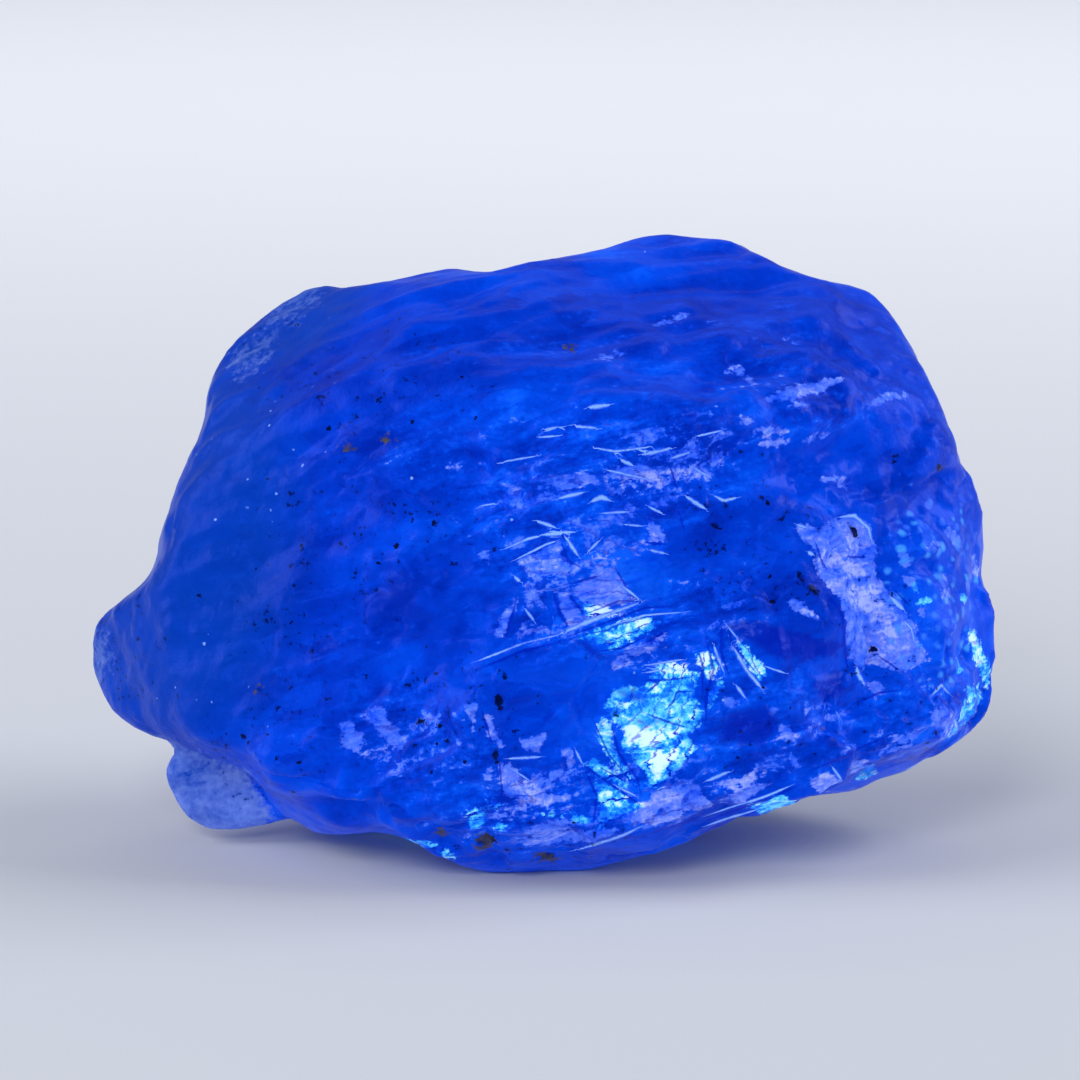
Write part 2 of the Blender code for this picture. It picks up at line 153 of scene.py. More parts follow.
@dataclass(frozen=True)
class Drawn:
    """A mark on the front, in mm: a closed outline, or a tapering line if it has a half width."""

    corners: tuple[tuple[float, float], ...]
    half_width: float = 0.0

    def near(self, x: np.ndarray, z: np.ndarray) -> np.ndarray:
        """Numbers of the places that are close enough for the mark to matter."""
        low, high = np.min(self.corners, axis=0) - FIELD_REACH, np.max(self.corners, axis=0) + FIELD_REACH
        return np.flatnonzero((x > low[0]) & (x < high[0]) & (z > low[1]) & (z < high[1]))

    def side(self, index: int, x: np.ndarray, z: np.ndarray) -> tuple[np.ndarray, np.ndarray, np.ndarray]:
        """Measure places against one side.

        Args:
            index: Number of the side's first corner.
            x: Places to the right in mm.
            z: Places upward in mm.

        Returns:
            The share along the side, the distance from it, and a value above zero on its left.
        """
        (x0, z0), (x1, z1) = self.corners[index], self.corners[(index + 1) % len(self.corners)]
        run_x, run_z = x1 - x0, z1 - z0
        along = np.clip(((x - x0) * run_x + (z - z0) * run_z) / (run_x ** 2 + run_z ** 2), 0.0, 1.0)
        distance = np.hypot(x - x0 - along * run_x, z - z0 - along * run_z)
        return along, distance, run_x * (z - z0) - run_z * (x - x0)

    def width_at(self, index: int, along: np.ndarray) -> np.ndarray:
        """Half width of a tapering line at a share along one of its sides."""
        from_middle = np.abs(2.0 * (index + along) / (len(self.corners) - 1) - 1.0)
        return self.half_width * (1.0 - from_middle ** 3.0)

    def raise_field(self, level: np.ndarray, x: np.ndarray, z: np.ndarray) -> None:
        """Raise a field of distances to this mark's own wherever that is greater.

        Args:
            level: Distance in mm into the nearest mark of this kind, less than zero outside.
            x: Places to the right in mm.
            z: Places upward in mm.
        """
        near = self.near(x, z)
        x, z = x[near], z[near]
        inside = np.zeros(len(x), bool)
        nearest = np.full(len(x), np.inf)
        for index in range(len(self.corners) - (self.half_width > 0.0)):
            along, distance, _ = self.side(index, x, z)
            if self.half_width:
                distance = distance - self.width_at(index, along)
            else:
                (x0, z0), (x1, z1) = self.corners[index], self.corners[(index + 1) % len(self.corners)]
                crossed = ((z0 > z) != (z1 > z))
                inside[crossed] ^= x[crossed] < x0 + (z[crossed] - z0) * (x1 - x0) / (z1 - z0)
            nearest = np.minimum(nearest, distance)
        level[near] = np.maximum(level[near], np.where(inside, nearest, -nearest))

    def lay_line(self, across: np.ndarray, gap: np.ndarray, x: np.ndarray, z: np.ndarray) -> None:
        """Measure places against this line wherever it is nearer than the lines before it.

        Args:
            across: Signed share of the half width across the nearest line, so that a line thinner
                than the mesh still has its middle where the sign changes.
            gap: Distance to the nearest line in mm.
            x: Places to the right in mm.
            z: Places upward in mm.
        """
        near = self.near(x, z)
        x, z = x[near], z[near]
        for index in range(len(self.corners) - 1):
            along, distance, left = self.side(index, x, z)
            share = np.sign(left) * distance / np.maximum(self.width_at(index, along), 0.004)
            closer = distance < gap[near]
            across[near[closer]] = np.clip(share[closer], -WIDEST, WIDEST)
            gap[near[closer]] = distance[closer]


# Fields of distances stop at this many mm, and shares across a line at this many half widths
FIELD_REACH = 0.8
WIDEST = 6.0
# Closed outlines on the front
OUTLINES: dict[Mark, tuple] = {
    # Painted reflection: cleavage planes and streaks painted pale lilac, for the light they throw back
    Mark.PALE: (
        # The large flat cleavage plane at the right, and the chips beside it
        ((6.6, 1.0), (7.1, 0.9), (8.0, 1.3), (8.6, 1.0), (8.85, 0.3), (8.7, 0.0), (8.9, -0.6), (9.4, -1.0),
         (9.9, -1.7), (10.0, -2.3), (10.3, -2.8), (9.5, -3.2), (8.6, -2.8), (8.3, -3.1), (8.0, -2.6), (7.9, -1.6),
         (7.6, -0.9), (7.1, -0.3), (7.0, 0.4), (6.6, 0.7)),
        ((6.2, -1.1), (6.5, -1.0), (6.9, -1.4), (7.3, -1.7), (6.7, -1.5)),
        ((8.5, -3.4), (8.9, -3.4), (9.1, -3.6), (8.8, -3.8)),
        # Broken planes above the long break
        ((-1.3, 0.0), (-0.4, 0.4), (-0.1, 0.5), (0.1, 0.1), (0.5, -0.2), (-0.4, -0.4), (-0.7, -0.5)),
        ((0.3, -0.8), (0.8, -0.4), (1.1, -0.2), (1.4, -0.2), (1.7, -0.6), (2.1, -1.1), (1.3, -1.3), (0.6, -1.2)),
        ((-0.1, -0.9), (0.1, -0.9), (0.5, -1.3), (0.3, -1.7), (0.0, -1.3)),
        ((-0.9, -0.8), (-0.7, -0.8), (-0.4, -1.3), (-0.8, -1.1)),
        ((-1.8, -1.7), (-1.2, -1.1), (-1.5, -2.0), (-1.8, -2.1)),
        ((-2.3, 0.2), (-1.9, 0.3), (-2.0, -0.1)),
        ((0.2, 1.1), (0.9, 1.0), (1.1, 0.7), (0.7, 0.8)),
        ((2.3, 1.3), (2.7, 0.9), (2.9, 0.6), (2.5, 0.6)),
        ((1.3, -2.8), (1.9, -2.5), (2.9, -2.0), (2.6, -2.4), (1.5, -3.0)),
        # Streaks that rise to the right, above them
        ((1.3, 2.5), (2.2, 2.7), (2.6, 2.5), (2.7, 2.2), (1.4, 2.3)),
        ((-0.2, 2.0), (0.1, 2.3), (0.7, 2.1), (0.5, 2.0)),
        ((0.4, 2.4), (0.9, 2.3), (1.2, 2.1), (0.7, 2.1)),
        ((1.2, 2.2), (1.8, 1.8), (1.4, 1.8)),
        ((1.6, 1.5), (2.0, 1.6), (2.2, 1.4), (1.9, 1.3)),
        ((3.3, 2.5), (3.7, 2.7), (4.2, 2.3), (3.6, 2.4)),
        ((4.0, 2.8), (4.4, 3.0), (4.8, 3.1), (4.2, 2.6)),
        # Planes and streaks below the break
        ((-1.7, -5.6), (-1.4, -5.6), (-1.0, -6.1), (0.0, -6.5), (0.5, -6.4), (-0.4, -6.8), (-1.3, -6.6), (-1.6, -6.5)),
        ((-2.6, -3.9), (-2.3, -3.9), (-2.4, -4.8)),
        ((-2.1, -4.2), (-1.9, -4.3), (-1.6, -5.1), (-2.0, -4.8)),
        ((0.0, -5.2), (0.2, -5.1), (0.4, -5.5), (0.2, -5.8)),
        ((2.5, -6.4), (3.0, -6.1), (3.8, -6.2), (4.2, -6.8), (3.4, -6.9), (2.5, -6.8)),
        ((4.9, -6.1), (5.4, -5.8), (5.2, -6.3)),
        ((6.0, -4.5), (6.4, -4.6), (6.5, -5.0), (6.1, -5.0)),
        ((6.3, -5.3), (6.6, -5.5), (6.4, -5.8)),
        ((5.7, -4.0), (6.0, -4.1), (5.8, -4.3)),
        ((2.3, -7.4), (3.0, -6.9), (3.5, -6.9), (2.8, -7.3)),
        ((-0.4, -7.6), (0.6, -7.4), (1.6, -7.4), (0.8, -7.8)),
        ((-0.9, -7.3), (0.1, -7.1), (0.4, -7.3), (-0.5, -7.6)),
        ((-1.1, -4.9), (-0.4, -4.8), (-0.6, -5.2), (-1.0, -5.2)),
        ((4.4, -6.6), (5.2, -6.2), (5.9, -6.1), (5.0, -6.7)),
        ((4.5, -3.7), (4.9, -3.9), (4.5, -4.0)),
        ((6.9, -6.1), (7.4, -5.9), (8.0, -6.2), (7.3, -6.5)),
        ((8.0, -5.7), (8.5, -5.5), (8.6, -5.8), (8.2, -6.0)),
        ((9.3, -4.9), (9.7, -4.9), (9.5, -5.2)),
        ((10.4, -4.3), (10.8, -4.0), (11.1, -4.3), (10.7, -5.1)),
        ((-5.5, -4.2), (-5.0, -4.0), (-4.3, -5.0), (-4.4, -5.3), (-5.2, -4.6)),
        ((-6.1, -4.6), (-5.8, -4.5), (-5.4, -4.9), (-5.6, -5.3), (-6.0, -5.1)),
    ),
    # Painted glow: light from below painted pale cyan into the crystal
    Mark.GLOW: (
        # The ground under the break, the bright hollow and the shards beside it
        ((0.5, -2.1), (1.3, -1.8), (2.2, -1.5), (2.9, -1.7), (2.1, -2.1), (1.4, -2.4), (0.9, -2.2)),
        ((0.6, -1.1), (1.2, -1.3), (1.6, -1.4), (0.8, -1.6)),
        ((3.0, -2.8), (2.7, -2.9), (2.3, -3.5), (1.5, -3.5), (1.2, -4.1), (1.8, -4.7), (1.7, -5.2), (2.3, -5.8),
         (2.3, -6.2), (2.7, -6.3), (3.1, -5.8), (3.7, -5.2), (3.5, -4.8), (3.9, -4.4), (3.7, -3.8), (3.8, -3.1)),
        ((3.7, -2.6), (4.1, -2.5), (4.3, -2.9), (4.1, -3.3), (3.9, -3.0)),
        ((4.0, -3.6), (4.4, -3.3), (4.5, -3.5), (4.1, -4.0)),
        ((4.9, -2.3), (5.1, -2.3), (5.7, -3.1), (5.5, -3.3), (5.0, -2.7)),
        ((1.1, -4.3), (1.3, -4.4), (1.4, -5.1), (2.1, -6.2), (1.6, -5.8), (1.0, -4.9)),
        ((0.7, -5.6), (0.9, -5.4), (1.8, -6.2), (1.2, -6.0)),
        ((0.9, -6.1), (1.5, -6.3), (2.2, -6.8), (1.6, -7.0), (1.1, -7.1)),
        ((1.1, -7.1), (1.5, -7.1), (1.0, -7.5)),
        # Bright chips along the lower edge and at the right
        ((0.3, -6.9), (0.6, -7.0), (0.9, -7.2), (0.4, -7.2)),
        ((-0.6, -7.0), (-0.2, -6.9), (0.1, -7.0), (-0.2, -7.1)),
        ((-2.1, -6.6), (-1.7, -6.5), (-1.6, -6.8), (-2.0, -6.9)),
        ((-2.6, -6.9), (-2.2, -6.8), (-2.0, -7.0), (-2.2, -7.4), (-2.5, -7.4)),
        ((-1.9, -7.2), (-1.5, -7.3), (-1.7, -7.5)),
        ((5.2, -6.8), (6.0, -6.4), (6.6, -6.8), (5.5, -7.0)),
        ((8.5, -5.8), (8.8, -5.7), (8.9, -6.0), (8.4, -6.2)),
        ((11.5, -3.6), (11.9, -3.5), (12.0, -4.1), (11.4, -4.7), (10.9, -5.1), (11.3, -4.4)),
    ),
    Mark.CORE: (
        # Painted glow and reflection at their brightest: the brightest parts of the planes and of the hollow
        ((0.8, -1.3), (1.8, -1.2), (1.7, -1.5), (1.1, -1.6)),
        ((1.1, -2.0), (1.8, -1.7), (2.7, -1.6), (2.0, -2.0), (1.4, -2.2)),
        ((2.8, -3.0), (3.2, -2.8), (3.5, -2.9), (3.0, -3.3), (2.7, -3.8), (2.3, -3.6)),
        ((1.4, -4.0), (2.2, -3.9), (1.9, -4.3)),
        ((1.8, -4.7), (3.2, -4.7), (2.9, -5.0), (2.0, -5.1)),
        ((2.3, -5.2), (3.3, -5.3), (2.9, -5.7), (2.6, -5.6)),
        ((2.3, -5.8), (2.8, -5.7), (2.7, -6.2), (2.4, -6.1)),
        ((1.1, -5.2), (1.7, -5.8), (1.9, -6.0)),
        ((1.1, -6.3), (1.8, -6.7), (1.2, -6.8)),
        ((3.7, -2.7), (4.0, -2.6), (4.1, -3.1)),
        ((7.0, 0.1), (7.6, 0.3), (8.5, -0.2), (8.5, -0.5), (7.2, -0.2)),
        ((8.0, -0.7), (8.8, -0.8), (9.3, -1.3), (9.2, -2.0), (8.2, -1.3)),
        ((-1.0, 0.0), (-0.1, 0.3), (0.0, -0.1), (-0.5, -0.2)),
        ((-1.3, -6.2), (-0.9, -6.2), (-0.4, -6.6), (-1.0, -6.6)),
    ),
    Mark.DEEP: (
        # Dark clear pieces with crisp edges
        ((4.4, -4.7), (4.7, -4.2), (5.7, -4.0), (6.0, -4.4), (5.9, -4.8), (5.5, -5.1), (4.4, -5.0)),
        ((0.5, -2.2), (0.9, -2.3), (1.3, -2.7), (0.8, -2.7)),
        ((1.6, -3.6), (2.3, -3.7), (2.2, -3.9), (1.8, -3.8)),
        ((2.1, -4.4), (2.9, -4.4), (2.3, -4.6)),
        ((4.6, -1.8), (5.3, -1.6), (7.0, -2.1), (7.8, -2.3), (7.6, -2.7), (5.9, -2.7), (5.3, -2.3)),
        ((6.9, -3.4), (7.5, -3.2), (8.1, -3.6), (7.3, -3.9)),
        ((11.0, -3.8), (11.3, -3.7), (11.3, -4.2)),
        ((3.6, 4.7), (4.2, 4.9), (4.3, 4.6)),
        ((3.2, 4.3), (3.7, 4.0), (3.6, 3.8)),
        ((6.0, 4.1), (6.9, 4.2), (6.1, 3.9)),
    ),
    Mark.CLEAR: (
        # Plain ground with hardly a mark
        ((1.5, -0.2), (1.8, 0.2), (2.9, 0.3), (2.9, -0.9), (2.3, -1.1), (1.9, -0.7)),
        ((-3.9, -0.3), (-1.0, -0.5), (-1.3, -2.3), (-2.4, -2.4), (-4.0, -2.0)),
        ((-0.4, -0.9), (-0.1, -1.1), (0.2, -1.7), (-0.3, -1.9)),
        ((-1.4, -2.9), (0.9, -2.9), (1.0, -3.4), (0.8, -4.2), (0.0, -5.0), (-1.6, -5.1), (-1.8, -3.7)),
        ((6.6, -1.7), (7.8, -2.3), (7.7, -2.9), (6.0, -2.8)),
    ),
    Mark.FROST: (
        # Worn, greyish skin at the upper left, on the lobe and on the thin flake
        ((-8.4, 7.3), (-7.6, 8.3), (-6.4, 8.4), (-7.2, 7.4), (-8.2, 6.9)),
        ((-9.4, 6.0), (-8.6, 6.3), (-8.2, 6.6), (-8.5, 5.8), (-9.2, 5.3)),
        ((-14.0, -1.6), (-13.4, -1.4), (-12.9, -2.6), (-13.2, -4.2), (-12.4, -5.3), (-14.0, -5.0)),
        ((-11.6, -4.9), (-10.3, -5.4), (-8.9, -6.1), (-8.3, -7.6), (-9.6, -8.3), (-12.0, -8.0)),
    ),
}
# Tapering lines, each with its half width in mm
STROKES: dict[Mark, tuple] = {
    # Painted highlights: bright lines along the breaks, plane edges, streaks and lower edge
    Mark.LINE: (
        # The long straight break
        (0.035, ((-2.4, -2.8), (-1.1, -2.3), (0.1, -2.0))),
        (0.08, ((-0.1, -2.05), (0.7, -1.7), (2.3, -1.1))),
        (0.03, ((1.3, -1.8), (2.3, -1.5), (3.5, -1.4))),
        (0.04, ((2.3, -2.9), (3.4, -2.7))),
        (0.03, ((2.3, -3.1), (2.8, -3.0))),
        # Bright edges of the broken planes
        (0.04, ((-1.6, 0.3), (-0.9, 0.6), (-0.5, 0.7))),
        (0.06, ((-0.6, 0.7), (-0.1, 0.75), (0.4, 0.8))),
        (0.03, ((-1.3, 0.0), (-0.4, 0.45), (-0.1, 0.55))),
        (0.05, ((-0.7, 1.1), (-0.1, 0.9))),
        (0.06, ((0.1, 0.7), (0.3, 0.4), (0.5, 0.1))),
        (0.04, ((0.7, 0.2), (1.1, 0.6))),
        (0.04, ((-1.0, -1.3), (-0.7, -1.7))),
        (0.06, ((-1.3, -0.4), (-1.1, -0.6))),
        (0.06, ((2.4, 0.3), (2.9, 0.2))),
        (0.04, ((2.4, 1.5), (2.8, 1.3))),
        (0.04, ((1.7, -0.7), (2.2, -1.1))),
        (0.05, ((-1.5, -5.45), (-0.5, -5.4))),
        (0.03, ((-1.4, -5.7), (-0.8, -6.1))),
        # Streaks above them
        (0.05, ((-0.5, 3.6), (0.1, 3.7))),
        (0.05, ((0.3, 3.7), (1.1, 3.65))),
        (0.08, ((0.7, 4.2), (1.4, 4.3))),
        (0.03, ((-0.6, 3.4), (0.0, 3.45))),
        (0.04, ((0.9, 3.1), (1.5, 3.0), (2.6, 3.15))),
        (0.06, ((2.2, 2.9), (3.1, 3.1))),
        (0.05, ((3.0, 2.8), (3.6, 3.0))),
        (0.05, ((1.6, 2.8), (2.0, 2.6))),
        (0.05, ((1.2, 2.5), (2.6, 2.2))),
        (0.06, ((-0.1, 1.7), (0.7, 1.9))),
        (0.07, ((0.8, 1.6), (1.1, 1.75), (1.4, 1.65))),
        (0.04, ((3.6, 2.6), (4.1, 2.3))),
        (0.06, ((3.4, 1.8), (4.0, 1.4))),
        (0.05, ((4.2, 1.8), (4.5, 1.65), (4.9, 1.75))),
        (0.03, ((3.7, 3.4), (4.5, 3.6))),
        (0.03, ((1.7, 1.0), (2.3, 0.95))),
        (0.04, ((1.1, 1.3), (1.9, 1.35))),
        (0.03, ((-1.7, 2.7), (-0.6, 2.9))),
        (0.03, ((-2.3, 1.5), (-1.7, 1.6))),
        # The fan of shards and the curved strips
        (0.05, ((4.2, -2.3), (4.3, -2.6), (4.5, -3.1))),
        (0.07, ((4.7, -2.3), (5.1, -3.0), (5.6, -3.6))),
        (0.03, ((5.6, -2.9), (6.2, -3.1))),
        (0.05, ((4.8, -3.4), (5.1, -3.8))),
        (0.03, ((4.5, -1.7), (4.9, -2.2))),
        (0.04, ((0.4, -5.2), (0.6, -5.6))),
        (0.04, ((1.5, -6.2), (2.1, -6.5))),
        (0.05, ((4.0, -6.1), (4.7, -5.8))),
        # The right plane's rim and sparks
        (0.06, ((7.7, 1.2), (8.2, 1.25), (8.6, 0.9), (8.7, 0.5))),
        (0.05, ((6.5, 1.0), (6.8, 0.9))),
        (0.07, ((6.8, 0.25), (7.0, 0.15))),
        (0.08, ((9.2, -1.0), (9.6, -1.4))),
        (0.05, ((9.6, -1.7), (9.8, -1.9), (9.9, -2.3))),
        (0.07, ((8.2, -2.9), (8.3, -3.2), (8.5, -3.5))),
        (0.05, ((10.4, -3.8), (10.7, -3.5), (11.0, -3.8))),
        (0.07, ((11.1, -4.4), (11.2, -4.8))),
        # Lines along the lower edge
        (0.035, ((4.0, -7.1), (5.7, -6.5), (6.4, -6.2))),
        (0.04, ((4.0, -7.4), (5.5, -6.9))),
        (0.05, ((0.3, -8.1), (1.7, -7.6), (2.3, -7.3))),
        (0.05, ((7.5, -5.7), (7.8, -6.1))),
        (0.05, ((9.8, -6.0), (10.7, -5.6))),
    ),
    Mark.CRACK: (
        # Cracks about the long break
        (0.03, ((-2.3, -3.0), (-1.1, -2.5), (0.1, -2.2))),
        (0.04, ((-0.1, -2.2), (1.5, -1.6), (2.3, -1.3), (3.0, -1.25))),
        (0.03, ((0.6, -1.5), (1.6, -1.1), (2.3, -1.1))),
        (0.04, ((2.2, -2.3), (3.0, -1.9))),
        (0.03, ((1.0, -2.5), (1.7, -2.4), (2.3, -2.1))),
        # Cracks in and between the planes
        (0.04, ((0.0, 0.55), (0.2, 0.0), (0.6, -0.2))),
        (0.04, ((0.2, -0.9), (0.6, -1.4), (0.6, -1.6))),
        (0.05, ((-0.2, -0.9), (0.0, -1.5), (0.2, -1.8))),
        (0.03, ((0.4, -0.6), (1.1, -0.4))),
        (0.04, ((1.5, -0.2), (1.9, -0.9), (2.2, -1.2))),
        (0.03, ((-1.2, -1.0), (-1.5, -2.1))),
        (0.04, ((2.3, 0.5), (2.9, 0.45))),
        (0.03, ((-0.1, 1.9), (0.7, 2.0))),
        (0.03, ((3.0, 2.6), (3.2, 2.0))),
        (0.03, ((3.2, 1.5), (3.4, 0.8))),
        # Cracks in the fan, the hollow and the strips
        (0.05, ((4.0, -2.2), (4.2, -3.0), (4.0, -3.7), (4.0, -4.5))),
        (0.04, ((3.8, -2.5), (3.9, -2.9), (3.9, -3.7))),
        (0.05, ((4.4, -1.7), (4.4, -2.5), (4.6, -3.1))),
        (0.04, ((4.6, -1.8), (4.7, -2.3), (5.4, -3.1))),
        (0.03, ((3.7, -3.6), (3.2, -3.6), (3.1, -3.9), (2.9, -4.1))),
        (0.03, ((2.3, -3.3), (2.8, -3.3), (3.6, -3.2))),
        (0.03, ((2.3, -4.2), (3.1, -4.5), (3.5, -4.6))),
        (0.03, ((0.9, -4.4), (1.3, -5.3), (2.1, -6.3))),
        (0.04, ((1.4, -4.5), (1.6, -5.3), (2.1, -6.0), (2.2, -6.4))),
        (0.04, ((0.6, -5.6), (1.3, -6.1), (2.3, -6.8))),
        (0.04, ((0.7, -5.8), (1.0, -6.5), (0.9, -7.3))),
        (0.03, ((1.1, -5.7), (1.8, -6.1))),
        (0.03, ((2.3, -3.7), (2.8, -3.3))),
        # Cracks at the right and along the lower edge
        (0.03, ((7.0, 0.6), (7.2, 0.0), (7.4, -0.3))),
        (0.03, ((8.8, -2.6), (9.5, -3.1))),
        (0.05, ((7.2, -0.7), (7.8, -1.5), (7.9, -2.6), (8.0, -3.1))),
        (0.03, ((9.3, -0.8), (9.8, -1.3))),
        (0.03, ((8.6, 0.1), (7.9, 0.1))),
        (0.04, ((3.9, -7.3), (5.7, -6.6), (6.6, -6.2))),
        (0.04, ((3.7, -7.7), (5.4, -7.0))),
        (0.03, ((6.9, -5.8), (9.4, -4.8))),
        (0.03, ((8.2, -4.0), (8.9, -3.7), (9.6, -3.6))),
        (0.03, ((10.4, -4.0), (10.6, -3.8), (11.1, -4.4))),
        (0.03, ((2.3, -7.6), (3.9, -7.1))),
        (0.03, ((-1.7, -5.3), (-1.6, -6.6))),
        (0.03, ((-2.2, -4.0), (-1.9, -5.0))),
    ),
    Mark.PALE: (
        # Painted highlights: soft ledges on the top slope and at the shoulder
        (0.16, ((5.6, 4.4), (6.6, 4.7), (7.9, 5.05))),
        (0.09, ((4.5, 5.2), (4.9, 5.4), (5.4, 4.9))),
        (0.09, ((4.9, 3.9), (5.3, 3.8))),
        (0.10, ((5.3, 3.6), (6.3, 3.6))),
        (0.09, ((5.5, 3.2), (6.4, 3.3))),
        (0.09, ((8.7, 4.4), (9.2, 4.6), (10.0, 4.7))),
        (0.09, ((2.6, 6.6), (3.6, 6.9))),
        (0.07, ((1.0, 5.6), (2.2, 5.9))),
        (0.07, ((6.7, 3.3), (7.4, 3.5))),
        (0.07, ((7.2, 2.2), (7.7, 2.3), (8.0, 2.0))),
        # Painted highlights: soft spots at the right
        (0.10, ((10.8, 0.9), (11.1, 0.7), (11.3, 0.4))),
        (0.10, ((10.3, 0.3), (10.7, 0.5))),
        (0.12, ((9.6, -0.5), (9.9, -0.7))),
        (0.10, ((10.7, -0.3), (10.9, -1.2))),
        (0.11, ((10.1, -1.3), (10.2, -1.6))),
        (0.09, ((11.4, -0.6), (11.6, -0.8))),
        (0.09, ((11.8, 0.1), (11.9, -0.4))),
        (0.09, ((9.5, 0.2), (9.7, -0.1))),
    ),
    Mark.GLOW: (
        # Painted glow: bright spots and the thin bright edge at the right
        (0.10, ((9.9, -0.7), (10.0, -0.9))),
        (0.09, ((10.0, -1.2), (10.4, -1.1))),
        (0.11, ((11.4, -0.9), (11.4, -1.2))),
        (0.09, ((11.2, -2.9), (11.3, -3.2))),
        (0.19, ((11.6, -1.9), (11.9, -2.7), (12.1, -3.1), (12.2, -3.6))),
        (0.11, ((-4.5, -7.9), (-3.7, -7.9), (-2.9, -8.3))),
    ),
    Mark.CORE: (
        # Painted glow: the white of the thin edge
        (0.14, ((11.7, -2.1), (11.9, -2.7), (12.1, -3.3))),
    ),
    Mark.DARK: (
        # Dark flecks
        (0.09, ((-1.7, -3.6), (-1.7, -4.1))),
        (0.08, ((-1.8, -5.2), (-1.8, -5.6))),
        (0.07, ((-1.6, -3.0), (-1.5, -3.3))),
        (0.06, ((0.7, -2.5), (0.7, -2.7))),
        (0.07, ((1.5, -4.1), (1.6, -4.3))),
        (0.14, ((-2.3, -7.9), (-2.0, -7.7), (-1.8, -7.8))),
        (0.09, ((-0.5, -8.2), (-0.1, -8.3))),
        (0.10, ((5.7, -1.2), (6.0, -1.0))),
        (0.08, ((6.6, -0.3), (6.7, -0.7))),
        (0.09, ((6.8, -0.7), (7.1, -0.9))),
        (0.07, ((3.9, 0.1), (4.4, 0.3))),
        (0.06, ((4.1, 1.0), (4.4, 0.9))),
        (0.06, ((8.4, -1.4), (8.5, -1.6))),
        (0.06, ((8.7, -2.4), (8.8, -2.6))),
        (0.05, ((8.0, 1.1), (8.3, 0.6))),
        (0.07, ((4.9, 3.0), (5.1, 3.0))),
        (0.07, ((5.5, 3.0), (5.6, 2.9))),
        (0.07, ((-4.0, -4.4), (-3.7, -4.5))),
        (0.06, ((-3.6, 1.0), (-3.4, 1.1))),
        (0.07, ((-5.5, -1.75), (-5.4, -1.7))),
        (0.06, ((-6.2, 0.6), (-5.9, 0.2))),
        (0.07, ((9.3, 2.9), (9.5, 2.8))),
        (0.09, ((10.6, 2.7), (10.8, 2.5))),
    ),
    Mark.EARTH: (
        # Earth and iron stain
        (0.20, ((-2.4, -7.9), (-1.9, -7.7))),
        (0.08, ((-3.5, -7.5), (-3.2, -7.6))),
        (0.09, ((-0.7, -8.2), (-0.1, -8.4))),
        (0.06, ((-6.1, 3.1), (-5.7, 3.1))),
        (0.05, ((-5.0, 3.4), (-4.5, 3.3))),
        (0.06, ((-8.4, -3.5), (-8.4, -3.7))),
        (0.06, ((0.2, 6.0), (0.4, 5.9))),
    ),
    Mark.FROST: (
        # Worn patches
        (0.14, ((-9.0, 5.9), (-8.4, 6.0))),
        (0.11, ((-7.8, 6.8), (-7.5, 7.0))),
        (0.10, ((-11.9, 0.8), (-11.0, 2.4), (-10.5, 3.9))),
    ),
}


@dataclass(frozen=True)
class Zone:
    """A soft round zone of the front: its middle, half sizes and turn."""

    x: float
    z: float
    half_width: float
    half_height: float
    turn: float = 0.0
    strength: float = 1.0

    def share(self, x: np.ndarray, z: np.ndarray) -> np.ndarray:
        """Share from 0 outside to the zone's strength in its middle half."""
        angle = math.radians(self.turn)
        right, up = x - self.x, z - self.z
        across = (right * math.cos(angle) + up * math.sin(angle)) / self.half_width
        above = (up * math.cos(angle) - right * math.sin(angle)) / self.half_height
        return self.strength * smooth_step((1.0 - np.hypot(across, above)) * 2.0)


# Painted shade and light, as if lit from below: parts painted darkest, and parts painted lighter where the light fills
# them
PAINTED_SHADE_ZONES = (Zone(5.6, -0.4, 3.4, 3.0, -20, 0.5), Zone(6.8, 6.6, 5.0, 2.6, -30, 0.6),
              Zone(9.8, 2.8, 1.8, 2.0, 0, 0.5), Zone(1.0, 6.6, 8.0, 1.4, 12, 0.7),
              Zone(-0.4, -3.5, 2.0, 1.3, 0, 0.3), Zone(-6.0, 5.2, 5.0, 1.8, 12, 0.7),
              Zone(-8.6, 1.0, 7.0, 8.5, 0, 0.6))
PAINTED_LIGHT_ZONES = (Zone(1.8, -4.8, 3.4, 3.0), Zone(-1.0, 0.4, 4.2, 3.0), Zone(10.8, -2.4, 2.2, 4.6),
              Zone(3.2, 1.2, 4.0, 2.6), Zone(4.5, 8.2, 5.0, 1.0, -8))
# The worn left end, where the blue is duller and greener
WORN_ZONES = (Zone(-11.4, 1.0, 5.4, 9.0, 0, 0.75), Zone(-8.0, 7.4, 4.0, 2.4, 30, 0.75))
# Where small streaks, painted highlight spots, painted glints and specks are thickest
STREAK_ZONES = (Zone(1.4, 2.4, 5.2, 2.4, 14, 1.3), Zone(0.0, -0.6, 3.6, 2.4, 14, 1.2),
                Zone(0.6, -6.7, 5.2, 1.6, 8, 1.5),
                Zone(5.6, -4.8, 4.6, 2.2, 18), Zone(3.4, -1.9, 3.4, 2.0), Zone(7.4, 4.2, 2.4, 0.8, 12),
                Zone(-3.6, -5.4, 3.4, 2.2, -30), Zone(10.2, -4.6, 2.6, 2.0, 20), Zone(-2.6, 3.4, 3.4, 1.6, 10, 0.6),
                Zone(3.6, 5.4, 6.4, 2.2, 8, 0.4))
HIGHLIGHT_SPOT_ZONES = (Zone(10.5, -1.0, 2.3, 4.4),)
GLINT_ZONES = (Zone(-8.2, 3.6, 3.4, 4.4), Zone(-9.6, -2.8, 2.8, 2.4), Zone(-2.6, 2.0, 3.6, 2.2))
